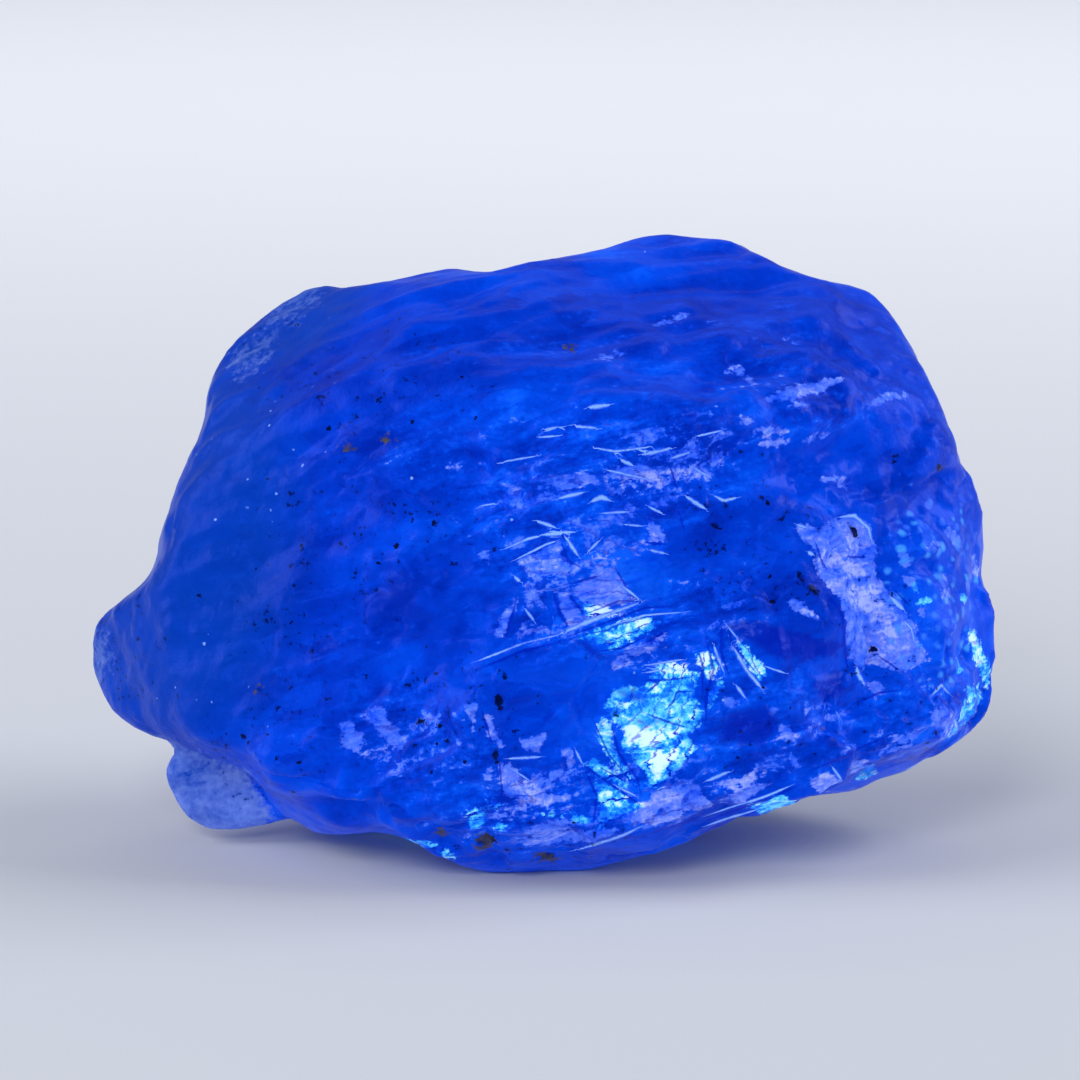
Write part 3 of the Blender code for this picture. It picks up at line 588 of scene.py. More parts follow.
SPECK_ZONES = (Zone(-6.6, -0.4, 3.2, 5.0, -20), Zone(5.6, 0.4, 3.2, 2.6), Zone(-2.4, -4.2, 3.0, 2.4),
               Zone(8.8, -1.6, 1.6, 3.2), Zone(-12.6, -2.8, 2.4, 3.0), Zone(-0.6, -8.0, 5.0, 1.2),
               Zone(-5.0, 5.0, 4.0, 2.2), Zone(-8.0, -5.0, 3.0, 2.4), Zone(9.2, -4.6, 3.4, 2.0, 20, 0.8),
               Zone(4.6, 1.8, 2.4, 1.0), Zone(-8.4, -6.6, 3.0, 1.6, -30), Zone(-7.6, 5.4, 2.6, 2.4, 0, 0.8),
               Zone(-3.4, 0.8, 3.0, 1.6), Zone(5.0, -4.6, 3.0, 2.0, 0, 0.8))
# The point that the shards and their cracks fan out from
FAN_MIDDLE = (4.2, -0.9)
# What the vertices tell the material, three values to an attribute
PACKED = {"planes": ("pale", "glow", "core"), "ground": ("deep", "frost", "worn"),
          "dirt": ("dark", "earth", "tone"), "highlight_lines": ("line", "line_gap", "streak"),
          "dark_lines": ("crack", "crack_gap", "wave"), "sprinkles": ("spot", "glint", "speck")}


@dataclass(frozen=True)
class Facets:
    """Small flat faces of random tilt, longer along the grain of the crystal."""

    size: float
    stretch: float
    tilt: float
    seed: int
    bevel: float = 0.14

    def random(self, cells: np.ndarray, salt: int) -> np.ndarray:
        """One fixed random value from 0 to 1 for each cell and salt."""
        mixed = cells[:, 0] * 73856093 + cells[:, 1] * 19349663 + cells[:, 2] * 83492791
        mixed = (mixed + (self.seed * 7919 + salt * 104729)) & 0xFFFFFFFF
        for _ in range(2):
            mixed = ((mixed >> 15) ^ mixed) * 0x2C1B3C6D & 0xFFFFFFFF
        return ((mixed >> 8) & 0xFFFF) / 65535.0

    def relief(self, points: np.ndarray, run: np.ndarray) -> tuple[np.ndarray, np.ndarray]:
        """Height of the faces over each point.

        Args:
            points: Places in mm.
            run: Direction that the faces are stretched along.

        Returns:
            The height in mm, and a random value that is the same all over a face.
        """
        along = points @ run
        placed = (points - np.outer(along * (1.0 - 1.0 / self.stretch), run)) / self.size
        base = np.floor(placed).astype(np.int64)
        first = np.full(len(points), np.inf)
        second = np.full(len(points), np.inf)
        first_height = np.zeros(len(points))
        second_height = np.zeros(len(points))
        tone = np.zeros(len(points))
        for index in range(27):
            cell = base + np.array((index // 9 - 1, index // 3 % 3 - 1, index % 3 - 1))
            middle = cell + np.column_stack([self.random(cell, salt) for salt in (1, 2, 3)])
            gap = placed - middle
            reach = np.einsum("ij,ij->i", gap, gap)
            lean = np.column_stack([self.random(cell, salt) - 0.5 for salt in (4, 5, 6)])
            height = 2.0 * self.tilt * self.size * np.einsum("ij,ij->i", gap, lean)
            nearest = reach < first
            second_height = np.where(nearest, first_height, np.where(reach < second, height, second_height))
            second = np.where(nearest, first, np.minimum(second, reach))
            first_height = np.where(nearest, height, first_height)
            tone = np.where(nearest, self.random(cell, 7), tone)
            first = np.where(nearest, reach, first)
        mix = 0.5 + 0.5 * smooth_step((np.sqrt(second) - np.sqrt(first)) / self.bevel)
        return first_height * mix + second_height * (1.0 - mix), tone


@dataclass(frozen=True)
class Crystal:
    """Tanzanite, a clear violet-blue crystal: glassy on fresh cleavage, frosted where it is worn.

    It takes out red and most of the green over a few millimetres, so thick parts turn a saturated
    royal blue. The lilac of its cleavage planes and streaks is painted reflection, the pale cyan of
    the bright hollow and thin edges is painted glow, and the whole stone has a faint painted glow in
    its own colour.
    """

    ior: float = 1.69
    transmission: float = 0.42
    # Light left after ten millimetres of crystal, in red, green and blue
    left_after_ten: tuple[float, float, float] = (0.0002, 0.30, 0.86)
    # The crystal's own reflections are blue, because the light in it is
    reflection: str = "#2A60FF"
    reflection_level: float = 0.08
    # Painted glow: the whole stone glows in its own colour at this strength, with no lamp in it
    painted_glow_strength: float = 0.42
    body: tuple[str, ...] = ("#0028A4", "#003AC4", "#004CE0", "#0C66FC")
    wisp_sheen: str = "#1468FF"
    worn: str = "#043C9E"
    deep: str = "#041CA4"
    # Colours of the painted reflection, the painted glow, the painted highlight spots and the painted highlight lines
    pale: tuple[str, ...] = ("#1C54F0", "#4474FA", "#6C8CFF", "#ACBCFF")
    glow: tuple[str, ...] = ("#0A50EC", "#1E90F8", "#60D0F8", "#D4F6FC")
    spot: tuple[str, str] = ("#3C70FF", "#48B0FF")
    line: tuple[str, str] = ("#2C60F4", "#8CBCFF")
    vein: str = "#0022B4"
    frost: tuple[str, str] = ("#1444A4", "#7C96D8")
    # Colour of the painted glints
    glint: str = "#84B4F4"
    speck: str = "#020824"
    earth: tuple[str, str] = ("#0C1834", "#54503C")

    def absorption(self) -> tuple[tuple[float, float, float, float], float]:
        """Absorption colour and density for the volume, from the light left after ten mm."""
        rates = [-math.log(share) / (10.0 * MM) for share in self.left_after_ten]
        density = max(rates)
        red, green, blue = (1.0 - rate / density for rate in rates)
        return (red, green, blue, 1.0), density

    def material(self) -> bpy.types.Material:
        """Build the crystal's material."""
        material = bpy.data.materials.new("tanzanite_crystal")
        material.use_nodes = True
        # The stone's painted glow only shows, so no rays are sent to look for it
        material.cycles.emission_sampling = "NONE"
        tree = material.node_tree
        tree.nodes.clear()
        object_place = add_node(tree, "ShaderNodeTexCoord").outputs["Object"]
        # Front frame in millimetres: x right, y away, z up
        shift = to_front(np.zeros((1, 3)))[0]
        front = add_node(tree, "ShaderNodeMapping", {"vector_type": "POINT"},
                         {"Vector": object_place, "Location": tuple(shift),
                          "Rotation": (FRONT_TILT, 0.0, 0.0), "Scale": (1000.0,) * 3}).outputs[0]
        # Streaks rise to the right by 14 degrees and are three times as long as wide
        streak = add_node(tree, "ShaderNodeMapping", {"vector_type": "TEXTURE"},
                          {"Vector": front, "Rotation": (0.0, math.radians(-14.0), 0.0),
                           "Scale": (3.0, 1.0, 1.0)}).outputs[0]
        # Streaky noise over half a millimetre and less, and grainy noise over a fifth and less
        wisps = add_node(tree, "ShaderNodeTexNoise", {},
                         {"Vector": streak, "Scale": 1.9, "Detail": 4.0, "Roughness": 0.7}).outputs["Fac"]
        fine = add_node(tree, "ShaderNodeTexNoise", {},
                        {"Vector": front, "Scale": 5.0, "Detail": 3.0, "Roughness": 0.68}).outputs["Fac"]
        cells = add_node(tree, "ShaderNodeTexVoronoi", {"feature": "F1"}, {"Vector": front, "Scale": 2.6})
        # Broken planes a millimetre and more long, with borders that the fine noise pushes about
        warp = add_node(tree, "ShaderNodeVectorMath", {"operation": "MULTIPLY_ADD"},
                        {0: fine, 1: (0.35, 0.0, 0.35), 2: streak}).outputs[0]
        planes = add_node(tree, "ShaderNodeTexVoronoi", {"feature": "F1"}, {"Vector": warp, "Scale": 1.7})
        plane_values = add_node(tree, "ShaderNodeSeparateColor", {}, {"Color": planes.outputs["Color"]})
        marks = {}
        for attribute, names in PACKED.items():
            packed = add_node(tree, "ShaderNodeAttribute", {"attribute_name": attribute}).outputs["Vector"]
            marks.update(zip(names, add_node(tree, "ShaderNodeSeparateXYZ", {}, {"Vector": packed}).outputs))
        marks["plane"], marks["shard"] = plane_values.outputs[0], plane_values.outputs[1]
        colour = self.body_colour(tree, marks, wisps, fine)
        for above, share in self.marks_on_body(tree, marks, wisps, fine, cells):
            colour = add_node(tree, "ShaderNodeMix", {"data_type": "RGBA"},
                              {0: share, 6: colour, 7: above}).outputs[2]
        bump = add_node(tree, "ShaderNodeBump", {},
                        {"Strength": 0.6, "Distance": 0.04 * MM, "Height": fine}).outputs["Normal"]
        frosted = add_node(tree, "ShaderNodeMapRange", {"interpolation_type": "SMOOTHSTEP"},
                           {"Value": marks["frost"], "From Min": -0.8, "From Max": 0.3,
                            "To Min": 0.22, "To Max": 0.5}).outputs["Result"]
        rough = add_node(tree, "ShaderNodeMath", {"operation": "MULTIPLY_ADD", "use_clamp": True},
                         {0: wisps, 1: 0.2, 2: frosted}).outputs[0]
        # Painted glow: the stone glows in its own colour everywhere, and more on the glow marks
        painted_glow_amount = add_node(tree, "ShaderNodeMapRange", {"interpolation_type": "SMOOTHSTEP"},
                           {"Value": marks["glow"], "From Min": -0.3, "From Max": 0.3,
                            "To Min": self.painted_glow_strength, "To Max": 1.6 * self.painted_glow_strength}).outputs["Result"]
        shader = add_node(tree, "ShaderNodeBsdfPrincipled", {},
                          {"Base Color": colour, "Roughness": rough, "IOR": self.ior,
                           "Specular IOR Level": self.reflection_level,
                           "Transmission Weight": self.transmission, "Normal": bump,
                           "Specular Tint": linear(self.reflection),
                           "Emission Color": colour, "Emission Strength": painted_glow_amount})
        absorbed, density = self.absorption()
        volume = add_node(tree, "ShaderNodeVolumeAbsorption", {}, {"Color": absorbed, "Density": density})
        add_node(tree, "ShaderNodeOutputMaterial", {},
                 {"Surface": shader.outputs["BSDF"], "Volume": volume.outputs["Volume"]})
        return material

    def level(self, tree: bpy.types.NodeTree, parts: tuple[tuple[bpy.types.NodeSocket, float], ...],
              start: float) -> bpy.types.NodeSocket:
        """Add up several values, each times its weight, from a start value.

        Args:
            tree: The material's node tree.
            parts: Pairs of a value and its weight.
            start: The value that they are added to.

        Returns:
            The sum.
        """
        total = start
        for source, weight in parts:
            total = add_node(tree, "ShaderNodeMath", {"operation": "MULTIPLY_ADD"},
                             {0: source, 1: weight, 2: total}).outputs[0]
        return total

    def shades(self, tree: bpy.types.NodeTree, value: bpy.types.NodeSocket,
               colours: tuple[str, ...]) -> bpy.types.NodeSocket:
        """Spread a value from 0 to 1 over four colours.

        Args:
            tree: The material's node tree.
            value: The value.
            colours: The four colours, in hex.

        Returns:
            The colour.
        """
        ramp = add_node(tree, "ShaderNodeValToRGB", {}, {"Fac": value})
        stops = ramp.color_ramp.elements
        stops[0].position, stops[0].color = 0.05, linear(colours[0])
        stops[1].position, stops[1].color = 0.95, linear(colours[-1])
        for position, colour in zip((0.35, 0.65), colours[1:-1]):
            stops.new(position).color = linear(colour)
        return ramp.outputs["Color"]

    def body_colour(self, tree: bpy.types.NodeTree, marks: dict, wisps: bpy.types.NodeSocket,
                    fine: bpy.types.NodeSocket) -> bpy.types.NodeSocket:
        """Mottled blues, from deep to bright with painted shade and light, and faint wisps of painted sheen.

        Args:
            tree: The material's node tree.
            marks: Attribute sockets by name.
            wisps: Streaky noise.
            fine: Grainy noise.

        Returns:
            The colour.
        """
        rough = add_node(tree, "ShaderNodeMath", {"operation": "MULTIPLY"},
                         {0: self.level(tree, ((wisps, 1.6), (fine, 0.5)), -1.02), 1: marks["streak"]}).outputs[0]
        # The tone carries painted shade and light as well as random mottle and facet tone
        value = self.level(tree, ((marks["tone"], 1.0), (wisps, 0.45), (fine, 0.35), (marks["plane"], 0.22),
                                  (rough, 1.0)), -0.51)
        base = self.shades(tree, value, self.body)
        base = add_node(tree, "ShaderNodeMix", {"data_type": "RGBA"},
                        {0: marks["worn"], 6: base, 7: linear(self.worn)}).outputs[2]
        # Painted sheen: faint lighter wisps
        lit = self.level(tree, ((wisps, 1.0), (fine, 0.45), (marks["streak"], 0.12), (marks["worn"], -0.1)), 0.0)
        share = add_node(tree, "ShaderNodeMapRange", {},
                         {"Value": lit, "From Min": 0.86, "From Max": 1.06, "To Max": 0.55}).outputs["Result"]
        return add_node(tree, "ShaderNodeMix", {"data_type": "RGBA"},
                        {0: share, 6: base, 7: linear(self.wisp_sheen)}).outputs[2]

    def marks_on_body(self, tree: bpy.types.NodeTree, marks: dict, wisps: bpy.types.NodeSocket,
                      fine: bpy.types.NodeSocket, cells: bpy.types.Node) -> list[tuple]:
        """Everything that lies over the body colour, from the lowest layer to the highest.

        Args:
            tree: The material's node tree.
            marks: Attribute sockets by name.
            wisps: Streaky noise.
            fine: Grainy noise.
            cells: Cells of 0.4 mm, for specks and glints.

        Returns:
            Pairs of a colour and its share.
        """
        # A mark's edge frays: its distance is pushed about by both noises and then cut off
        edges = {}
        for name, along, grainy, soft in (("pale", 0.5, 0.4, 0.04), ("glow", 0.45, 0.4, 0.04),
                                          ("core", 0.8, 0.6, 0.15), ("deep", 0.5, 0.5, 0.1),
                                          ("frost", 1.2, 1.2, 0.25), ("dark", 0.4, 0.5, 0.04),
                                          ("earth", 0.6, 0.8, 0.06)):
            pushed = self.level(tree, ((wisps, along), (fine, grainy), (marks[name], 1.0)),
                                -0.5 * (along + grainy))
            edges[name] = add_node(tree, "ShaderNodeMapRange", {"interpolation_type": "SMOOTHSTEP"},
                                   {"Value": pushed, "From Min": -soft, "From Max": soft}).outputs["Result"]
        # Loose streaks where the stone is most broken, painted pale like the planes
        loose = self.level(tree, ((marks["streak"], 0.22), (wisps, 1.0), (fine, 0.5), (marks["shard"], 0.18)), -0.2)
        streaks = add_node(tree, "ShaderNodeMapRange", {},
                           {"Value": loose, "From Min": 0.95, "From Max": 1.03}).outputs["Result"]
        # Painted reflection in pale lilac on the planes, and painted glow in cyan on the hollow
        inner = self.level(tree, ((wisps, 1.6), (fine, 1.4), (marks["pale"], 0.3), (marks["plane"], 0.5),
                                  (edges["core"], 0.4)), -1.36)
        pale_sheen_colour = self.shades(tree, inner, self.pale)
        heat = self.level(tree, ((wisps, 2.0), (fine, 1.8), (marks["glow"], 0.5), (marks["plane"], 0.5),
                                 (edges["core"], 0.4)), -1.78)
        glow_colour = self.shades(tree, heat, self.glow)
        # Cracks follow the fan near its middle and the streaks elsewhere
        wave = self.level(tree, ((wisps, 2.4), (marks["wave"], 1.0)), 0.0)
        crack = add_node(tree, "ShaderNodeMath", {"operation": "PINGPONG"}, {0: wave, 1: 0.5}).outputs[0]
        crack = self.level(tree, ((fine, -0.35), (crack, 1.0)), 0.0)
        veins = add_node(tree, "ShaderNodeMapRange", {},
                         {"Value": crack, "From Min": -0.07, "From Max": -0.14, "To Max": 0.75}).outputs["Result"]
        # Painted highlights: soft spots where the stone turns away at the right
        spot_lit = self.level(tree, ((cells.outputs["Distance"], -1.2), (marks["spot"], 0.75), (wisps, 1.4)), -0.8)
        spots = add_node(tree, "ShaderNodeMapRange", {"interpolation_type": "SMOOTHSTEP"},
                         {"Value": spot_lit, "From Min": 0.1, "From Max": 0.55, "To Max": 0.8}).outputs["Result"]
        values = add_node(tree, "ShaderNodeSeparateColor", {}, {"Color": cells.outputs["Color"]})
        spot_colour = add_node(tree, "ShaderNodeMix", {"data_type": "RGBA"},
                               {0: values.outputs[0], 6: linear(self.spot[0]), 7: linear(self.spot[1])}).outputs[2]
        # Small dark flecks, where they are thickest
        sooty = self.level(tree, ((marks["speck"], 0.14), (wisps, -0.5), (fine, -1.1)), 0.0)
        flecks = add_node(tree, "ShaderNodeMapRange", {},
                          {"Value": sooty, "From Min": -0.51, "From Max": -0.46, "To Max": 0.85}).outputs["Result"]
        # Dark specks and painted glints: some of the cells, each with a ragged dot at its middle
        dots = {}
        for name, channel, wanted, size, torn in (("speck", 1, 0.14, 0.15, 1.6), ("glint", 2, 0.35, 0.1, 0.5)):
            chosen = self.level(tree, ((marks[name], wanted), (values.outputs[channel], 1.0)), 0.0)
            chosen = add_node(tree, "ShaderNodeMath", {"operation": "GREATER_THAN"}, {0: chosen, 1: 0.99}).outputs[0]
            ragged = self.level(tree, ((fine, -torn), (cells.outputs["Distance"], 1.0)), 0.5 * torn)
            near = add_node(tree, "ShaderNodeMapRange", {},
                            {"Value": ragged, "From Min": size, "From Max": size - 0.08}).outputs["Result"]
            dots[name] = add_node(tree, "ShaderNodeMath", {"operation": "MULTIPLY"}, {0: chosen, 1: near}).outputs[0]
        frost_colour = add_node(tree, "ShaderNodeMix", {"data_type": "RGBA"},
                                {0: self.level(tree, ((wisps, 1.6), (fine, 1.4), (marks["worn"], -0.5)), -0.9),
                                 6: linear(self.frost[0]), 7: linear(self.frost[1])}).outputs[2]
        earth_colour = add_node(tree, "ShaderNodeMix", {"data_type": "RGBA"},
                                {0: self.level(tree, ((fine, 3.0),), -1.0),
                                 6: linear(self.earth[0]), 7: linear(self.earth[1])}).outputs[2]
        pale_sheen_share = add_node(tree, "ShaderNodeMath", {"operation": "MAXIMUM"},
                              {0: edges["pale"], 1: streaks}).outputs[0]
        cracked = self.level(tree, ((pale_sheen_share, 0.4), (edges["glow"], 0.8), (marks["streak"], 0.35)), 0.0)
        cracks = add_node(tree, "ShaderNodeMath", {"operation": "MULTIPLY"}, {0: veins, 1: cracked}).outputs[0]
        # Thin painted highlight lines and dark cracks: full where the share across is under one, and only close to a
        # line
        thin, middle = {}, {}
        for name, limit in (("line", 0.1), ("crack", 0.09)):
            across = add_node(tree, "ShaderNodeMath", {"operation": "ABSOLUTE"}, {0: marks[name]}).outputs[0]
            across = self.level(tree, ((fine, 1.6), (wisps, 1.4), (across, 1.0)), -1.5)
            ahead = add_node(tree, "ShaderNodeMapRange", {},
                             {"Value": marks[name + "_gap"], "From Min": limit, "From Max": 0.7 * limit}).outputs["Result"]
            cover = add_node(tree, "ShaderNodeMapRange", {},
                             {"Value": across, "From Min": 1.5, "From Max": 0.6}).outputs["Result"]
            thin[name] = add_node(tree, "ShaderNodeMath", {"operation": "MULTIPLY"}, {0: ahead, 1: cover}).outputs[0]
            middle[name] = add_node(tree, "ShaderNodeMapRange", {},
                                    {"Value": across, "From Min": 0.9, "From Max": 0.2}).outputs["Result"]
        highlight_line_colour = add_node(tree, "ShaderNodeMix", {"data_type": "RGBA"},
                               {0: middle["line"], 6: linear(self.line[0]), 7: linear(self.line[1])}).outputs[2]
        dark_line = add_node(tree, "ShaderNodeMath", {"operation": "MULTIPLY"}, {0: thin["crack"], 1: 0.8}).outputs[0]
        depth = add_node(tree, "ShaderNodeMath", {"operation": "MULTIPLY"}, {0: edges["deep"], 1: 0.75}).outputs[0]
        frosted = add_node(tree, "ShaderNodeMath", {"operation": "MULTIPLY"}, {0: edges["frost"], 1: 0.8}).outputs[0]
        return [(frost_colour, frosted), (pale_sheen_colour, pale_sheen_share),
                (spot_colour, spots), (glow_colour, edges["glow"]), (linear(self.deep), depth),
                (linear(self.vein), cracks), (linear(self.vein), dark_line), (highlight_line_colour, thin["line"]),
                (linear(self.glint), dots["glint"]), (linear(self.speck), flecks),
                (linear(self.speck), dots["speck"]), (linear(self.speck), edges["dark"]),
                (earth_colour, edges["earth"])]


@dataclass
class CrystalStone:
    """The whole stone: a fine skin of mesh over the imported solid, with its small relief."""

    node: str = "stone"
    # Width of the skin's faces: half as wide on the front, and half of that where it is most broken
    grid: float = 0.26
    finest: Zone = Zone(4.2, -2.4, 7.2, 5.6)
    softening: int = 2
    grain_run: np.ndarray = field(default_factory=lambda: np.array((0.95, 0.12, 0.27)))
    ripple_height: float = 0.16
    lump_height: float = 0.07
    sugar_height: float = 0.035
    # The relief is mostly cut into the solid, and stands proud of it by little
    deepest: float = 0.55
    proudest: float = 0.14
    facets: tuple[Facets, ...] = (Facets(2.6, 1.6, 0.42, 3), Facets(1.0, 1.9, 0.40, 5), Facets(0.45, 2.0, 0.34, 9))

    def build(self) -> bpy.types.Object:
        """Model, shape and dress the stone."""
        stone = self.fine_skin()
        points, normals = self.surface(stone)
        shaped, tone = self.shape(points, normals)
        self.store(stone, shaped)
        points, normals = self.surface(stone)
        self.paint(stone, points, normals, tone)
        stone.data.materials.clear()
        stone.data.materials.append(Crystal().material())
        return stone

    def fine_skin(self) -> bpy.types.Object:
        """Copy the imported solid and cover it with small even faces, finer on the front."""
        bpy.ops.object.select_all(action="DESELECT")
        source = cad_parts[self.node]
        stone = bpy.data.objects.new("tanzanite_stone", source.data.copy())
        bpy.context.scene.collection.objects.link(stone)
        stone.select_set(True)
        bpy.context.view_layer.objects.active = stone
        stone.data.transform(Matrix.Scale(1.0 / MM, 4))
        bpy.ops.object.mode_set(mode="EDIT")
        bpy.ops.mesh.select_all(action="SELECT")
        bpy.ops.mesh.remove_doubles(threshold=0.001)
        bpy.ops.object.mode_set(mode="OBJECT")
        skin = stone.modifiers.new("skin", "REMESH")
        skin.mode = "VOXEL"
        skin.voxel_size = self.grid
        bpy.ops.object.modifier_apply(modifier=skin.name)
        soft = stone.modifiers.new("soft", "SMOOTH")
        soft.factor = 0.5
        soft.iterations = self.softening
        bpy.ops.object.modifier_apply(modifier=soft.name)
        bpy.ops.object.mode_set(mode="EDIT")
        bpy.ops.mesh.select_mode(type="FACE")
        bpy.ops.mesh.select_all(action="DESELECT")
        bpy.ops.object.mode_set(mode="OBJECT")
        ahead = Vector((0.0, -math.cos(FRONT_TILT), math.sin(FRONT_TILT)))
        for face in stone.data.polygons:
            face.select = face.normal.dot(ahead) > 0.12
        bpy.ops.object.mode_set(mode="EDIT")
        bpy.ops.mesh.subdivide(number_cuts=1)
        bpy.ops.mesh.select_all(action="DESELECT")
        bpy.ops.object.mode_set(mode="OBJECT")
        middles = np.zeros(len(stone.data.polygons) * 3)
        stone.data.polygons.foreach_get("center", middles)
        x, _, z = to_front(middles.reshape(-1, 3)).T
        broken = self.finest.share(x, z) > 0.0
        for face in stone.data.polygons:
            face.select = bool(broken[face.index]) and face.normal.dot(ahead) > 0.4
        bpy.ops.object.mode_set(mode="EDIT")
        bpy.ops.mesh.subdivide(number_cuts=1)
        bpy.ops.object.mode_set(mode="OBJECT")
        soft = stone.modifiers.new("soft", "SMOOTH")
        soft.factor = 0.5
        soft.iterations = 2
        bpy.ops.object.modifier_apply(modifier=soft.name)
        stone.data.transform(Matrix.Scale(MM, 4))
        stone.data.shade_smooth()
        return stone

    def surface(self, stone: bpy.types.Object) -> tuple[np.ndarray, np.ndarray]:
        """Places and outward normals of the stone's vertices in the front frame, in mm."""
        flat = np.zeros(len(stone.data.vertices) * 3)
        stone.data.vertices.foreach_get("co", flat)
        points = to_front(flat.reshape(-1, 3) / MM)
        stone.data.vertices.foreach_get("normal", flat)
        normals = to_front(flat.reshape(-1, 3) + OUTLINE_MIDDLE)
        return points, normals

    def store(self, stone: bpy.types.Object, points: np.ndarray) -> None:
        """Put shaped places back into the mesh, with nothing below the resting flat."""
        placed = from_front(points)
        placed[:, 2] = np.maximum(placed[:, 2], 0.0)
        stone.data.vertices.foreach_set("co", (placed * MM).ravel())
        stone.data.update()

    def shape(self, points: np.ndarray, normals: np.ndarray) -> tuple[np.ndarray, np.ndarray]:
        """Add the small facets, ripples and grains to the skin.

        Args:
            points: Places in the front frame in mm.
            normals: Outward normals.

        Returns:
            The moved places, and a tone for each place: random for each facet, with painted shade on the ripples.
        """
        x, z = points[:, 0], points[:, 2]
        free = smooth_step((from_front(points)[:, 2] - 0.15) / 0.6)
        rim = 0.12 + 0.88 * smooth_step(np.abs(normals[:, 1]) / 0.6)
        run = self.grain_run / np.linalg.norm(self.grain_run)
        # The top slope and the worn left end have ripples and grains instead of facets
        top = smooth_step((z - 3.6 - 0.12 * x + grain(points, 3.0, 71.0)) / 1.6)
        left = smooth_step((-6.0 - x + 1.5 * grain(points, 2.5, 73.0)) / 2.5)
        broken = np.maximum(1.0 - top - 0.8 * left, 0.12)
        relief = np.zeros(len(points))
        tone = np.zeros(len(points))
        small = self.lump_height * grain(points, 0.8, 21.0)
        small += self.sugar_height * grain(points, 0.3, 11.0) * (0.4 + 0.6 * left)
        for layer, facets in enumerate(self.facets):
            height, value = facets.relief(points, run)
            patchy = smooth_step(0.62 + 1.5 * grain(points, 2.6, 80.0 + layer))
            relief += height * broken * patchy
            tone += (value - 0.5) * broken * (0.5, 0.35, 0.3)[layer]
        along = points @ run
        stretched = points - np.outer(along * 0.80, run)
        ripple = 0.35 - 1.6 * np.abs(grain(stretched, 1.05, 3.0)) + 0.5 * grain(stretched, 0.5, 4.0)
        relief += self.ripple_height * ripple * (0.22 + 0.78 * top)
        # Painted shade on the ripples: crests lighter, hollows darker
        tone += 0.22 * ripple * top
        relief = np.clip(relief, -self.deepest, self.proudest)
        relief = relief * rim + small * (0.5 + 0.5 * rim)
        return points + normals * (relief * free)[:, None], tone

    def paint(self, stone: bpy.types.Object, points: np.ndarray, normals: np.ndarray,
              facet_tone_and_ripple_shade: np.ndarray) -> None:
        """Store at every vertex what the material needs to know about its place.

        Args:
            stone: The stone.
            points: Places in the front frame in mm.
            normals: Outward normals.
            facet_tone_and_ripple_shade: A random tone for each facet, with painted shade on the ripples.
        """
        x, z = points[:, 0], points[:, 2]
        front = smooth_step((-normals[:, 1] + 0.10) / 0.25)
        values = {}
        run = self.grain_run / np.linalg.norm(self.grain_run)
        stretched = points - np.outer(points @ run * 0.6, run)
        # Away from the front, the marks are left to chance: their width in mm, and how rare they are
        chance = {Mark.PALE: (1.1, 0.42), Mark.GLOW: (0.9, 0.6), Mark.CORE: (0.7, 0.3), Mark.DEEP: (1.4, 0.45),
                  Mark.CLEAR: (2.4, 0.1), Mark.FROST: (3.0, 0.35), Mark.DARK: (0.5, 0.62), Mark.EARTH: (0.8, 0.62)}
        for mark, (size, rarity) in chance.items():
            level = np.full(len(points), -FIELD_REACH)
            for corners in OUTLINES.get(mark, ()):
                Drawn(corners).raise_field(level, x, z)
            for half_width, corners in STROKES.get(mark, ()):
                Drawn(corners, half_width).raise_field(level, x, z)
            wild = np.clip((grain(stretched, size, 90.0 + 10.0 * size) - rarity) * size, -FIELD_REACH, FIELD_REACH)
            values[mark.value] = front * np.minimum(level, FIELD_REACH) + (1.0 - front) * wild
        for mark, often in ((Mark.LINE, 0.0), (Mark.CRACK, 30.0)):
            across = np.full(len(points), WIDEST)
            gap = np.full(len(points), FIELD_REACH)
            for half_width, corners in STROKES[mark]:
                Drawn(corners, half_width).lay_line(across, gap, x, z)
            wild = np.clip(often * grain(stretched, 1.3, 130.0), -WIDEST, WIDEST) if often else WIDEST
            wild_gap = 0.3 * smooth_step(0.6 - 2.0 * grain(points, 1.5, 135.0))
            values[mark.value] = np.where(front > 0.5, across, wild)
            values[mark.value + "_gap"] = np.where(front > 0.5, gap, wild_gap)
        # Painted shade and light, as if lit from below: darker in the shade zones, lighter in the light zones
        tone = np.zeros(len(points))
        for zone in PAINTED_SHADE_ZONES:
            tone = np.minimum(tone, -0.36 * zone.share(x, z))
        for zone in PAINTED_LIGHT_ZONES:
            tone = tone + 0.16 * zone.share(x, z) * (1.0 + tone / 0.36)
        mottle = 0.20 * grain(points, 2.2, 31.0) + 0.14 * grain(points, 0.9, 33.0)
        values["tone"] = 0.48 + tone * front + mottle + 0.34 * facet_tone_and_ripple_shade
        for name, zones in (("streak", STREAK_ZONES), ("spot", HIGHLIGHT_SPOT_ZONES), ("glint", GLINT_ZONES),
                            ("speck", SPECK_ZONES), ("worn", WORN_ZONES)):
            share = np.zeros(len(points))
            for zone in zones:
                share = np.maximum(share, zone.share(x, z))
            values[name] = share * front + 0.35 * (1.0 - front)
        values["spot"] *= front
        values["streak"] -= 0.75 * smooth_step(0.5 + values["clear"] / 0.3)
        # Whole numbers of the wave are cracks: spokes of the fan near it, and lines along the streaks
        gap = np.hypot(x - FAN_MIDDLE[0], z - FAN_MIDDLE[1])
        spokes = np.arctan2(x - FAN_MIDDLE[0], FAN_MIDDLE[1] - z) * 9.0
        lines = (z - 0.25 * x + 0.3 * points[:, 1]) / 0.62
        values["wave"] = np.where(gap < 5.2, spokes, lines)
        for attribute, names in PACKED.items():
            layer = stone.data.attributes.new(attribute, "FLOAT_VECTOR", "POINT")
            layer.data.foreach_set("vector", np.column_stack([values[name] for name in names]).ravel())


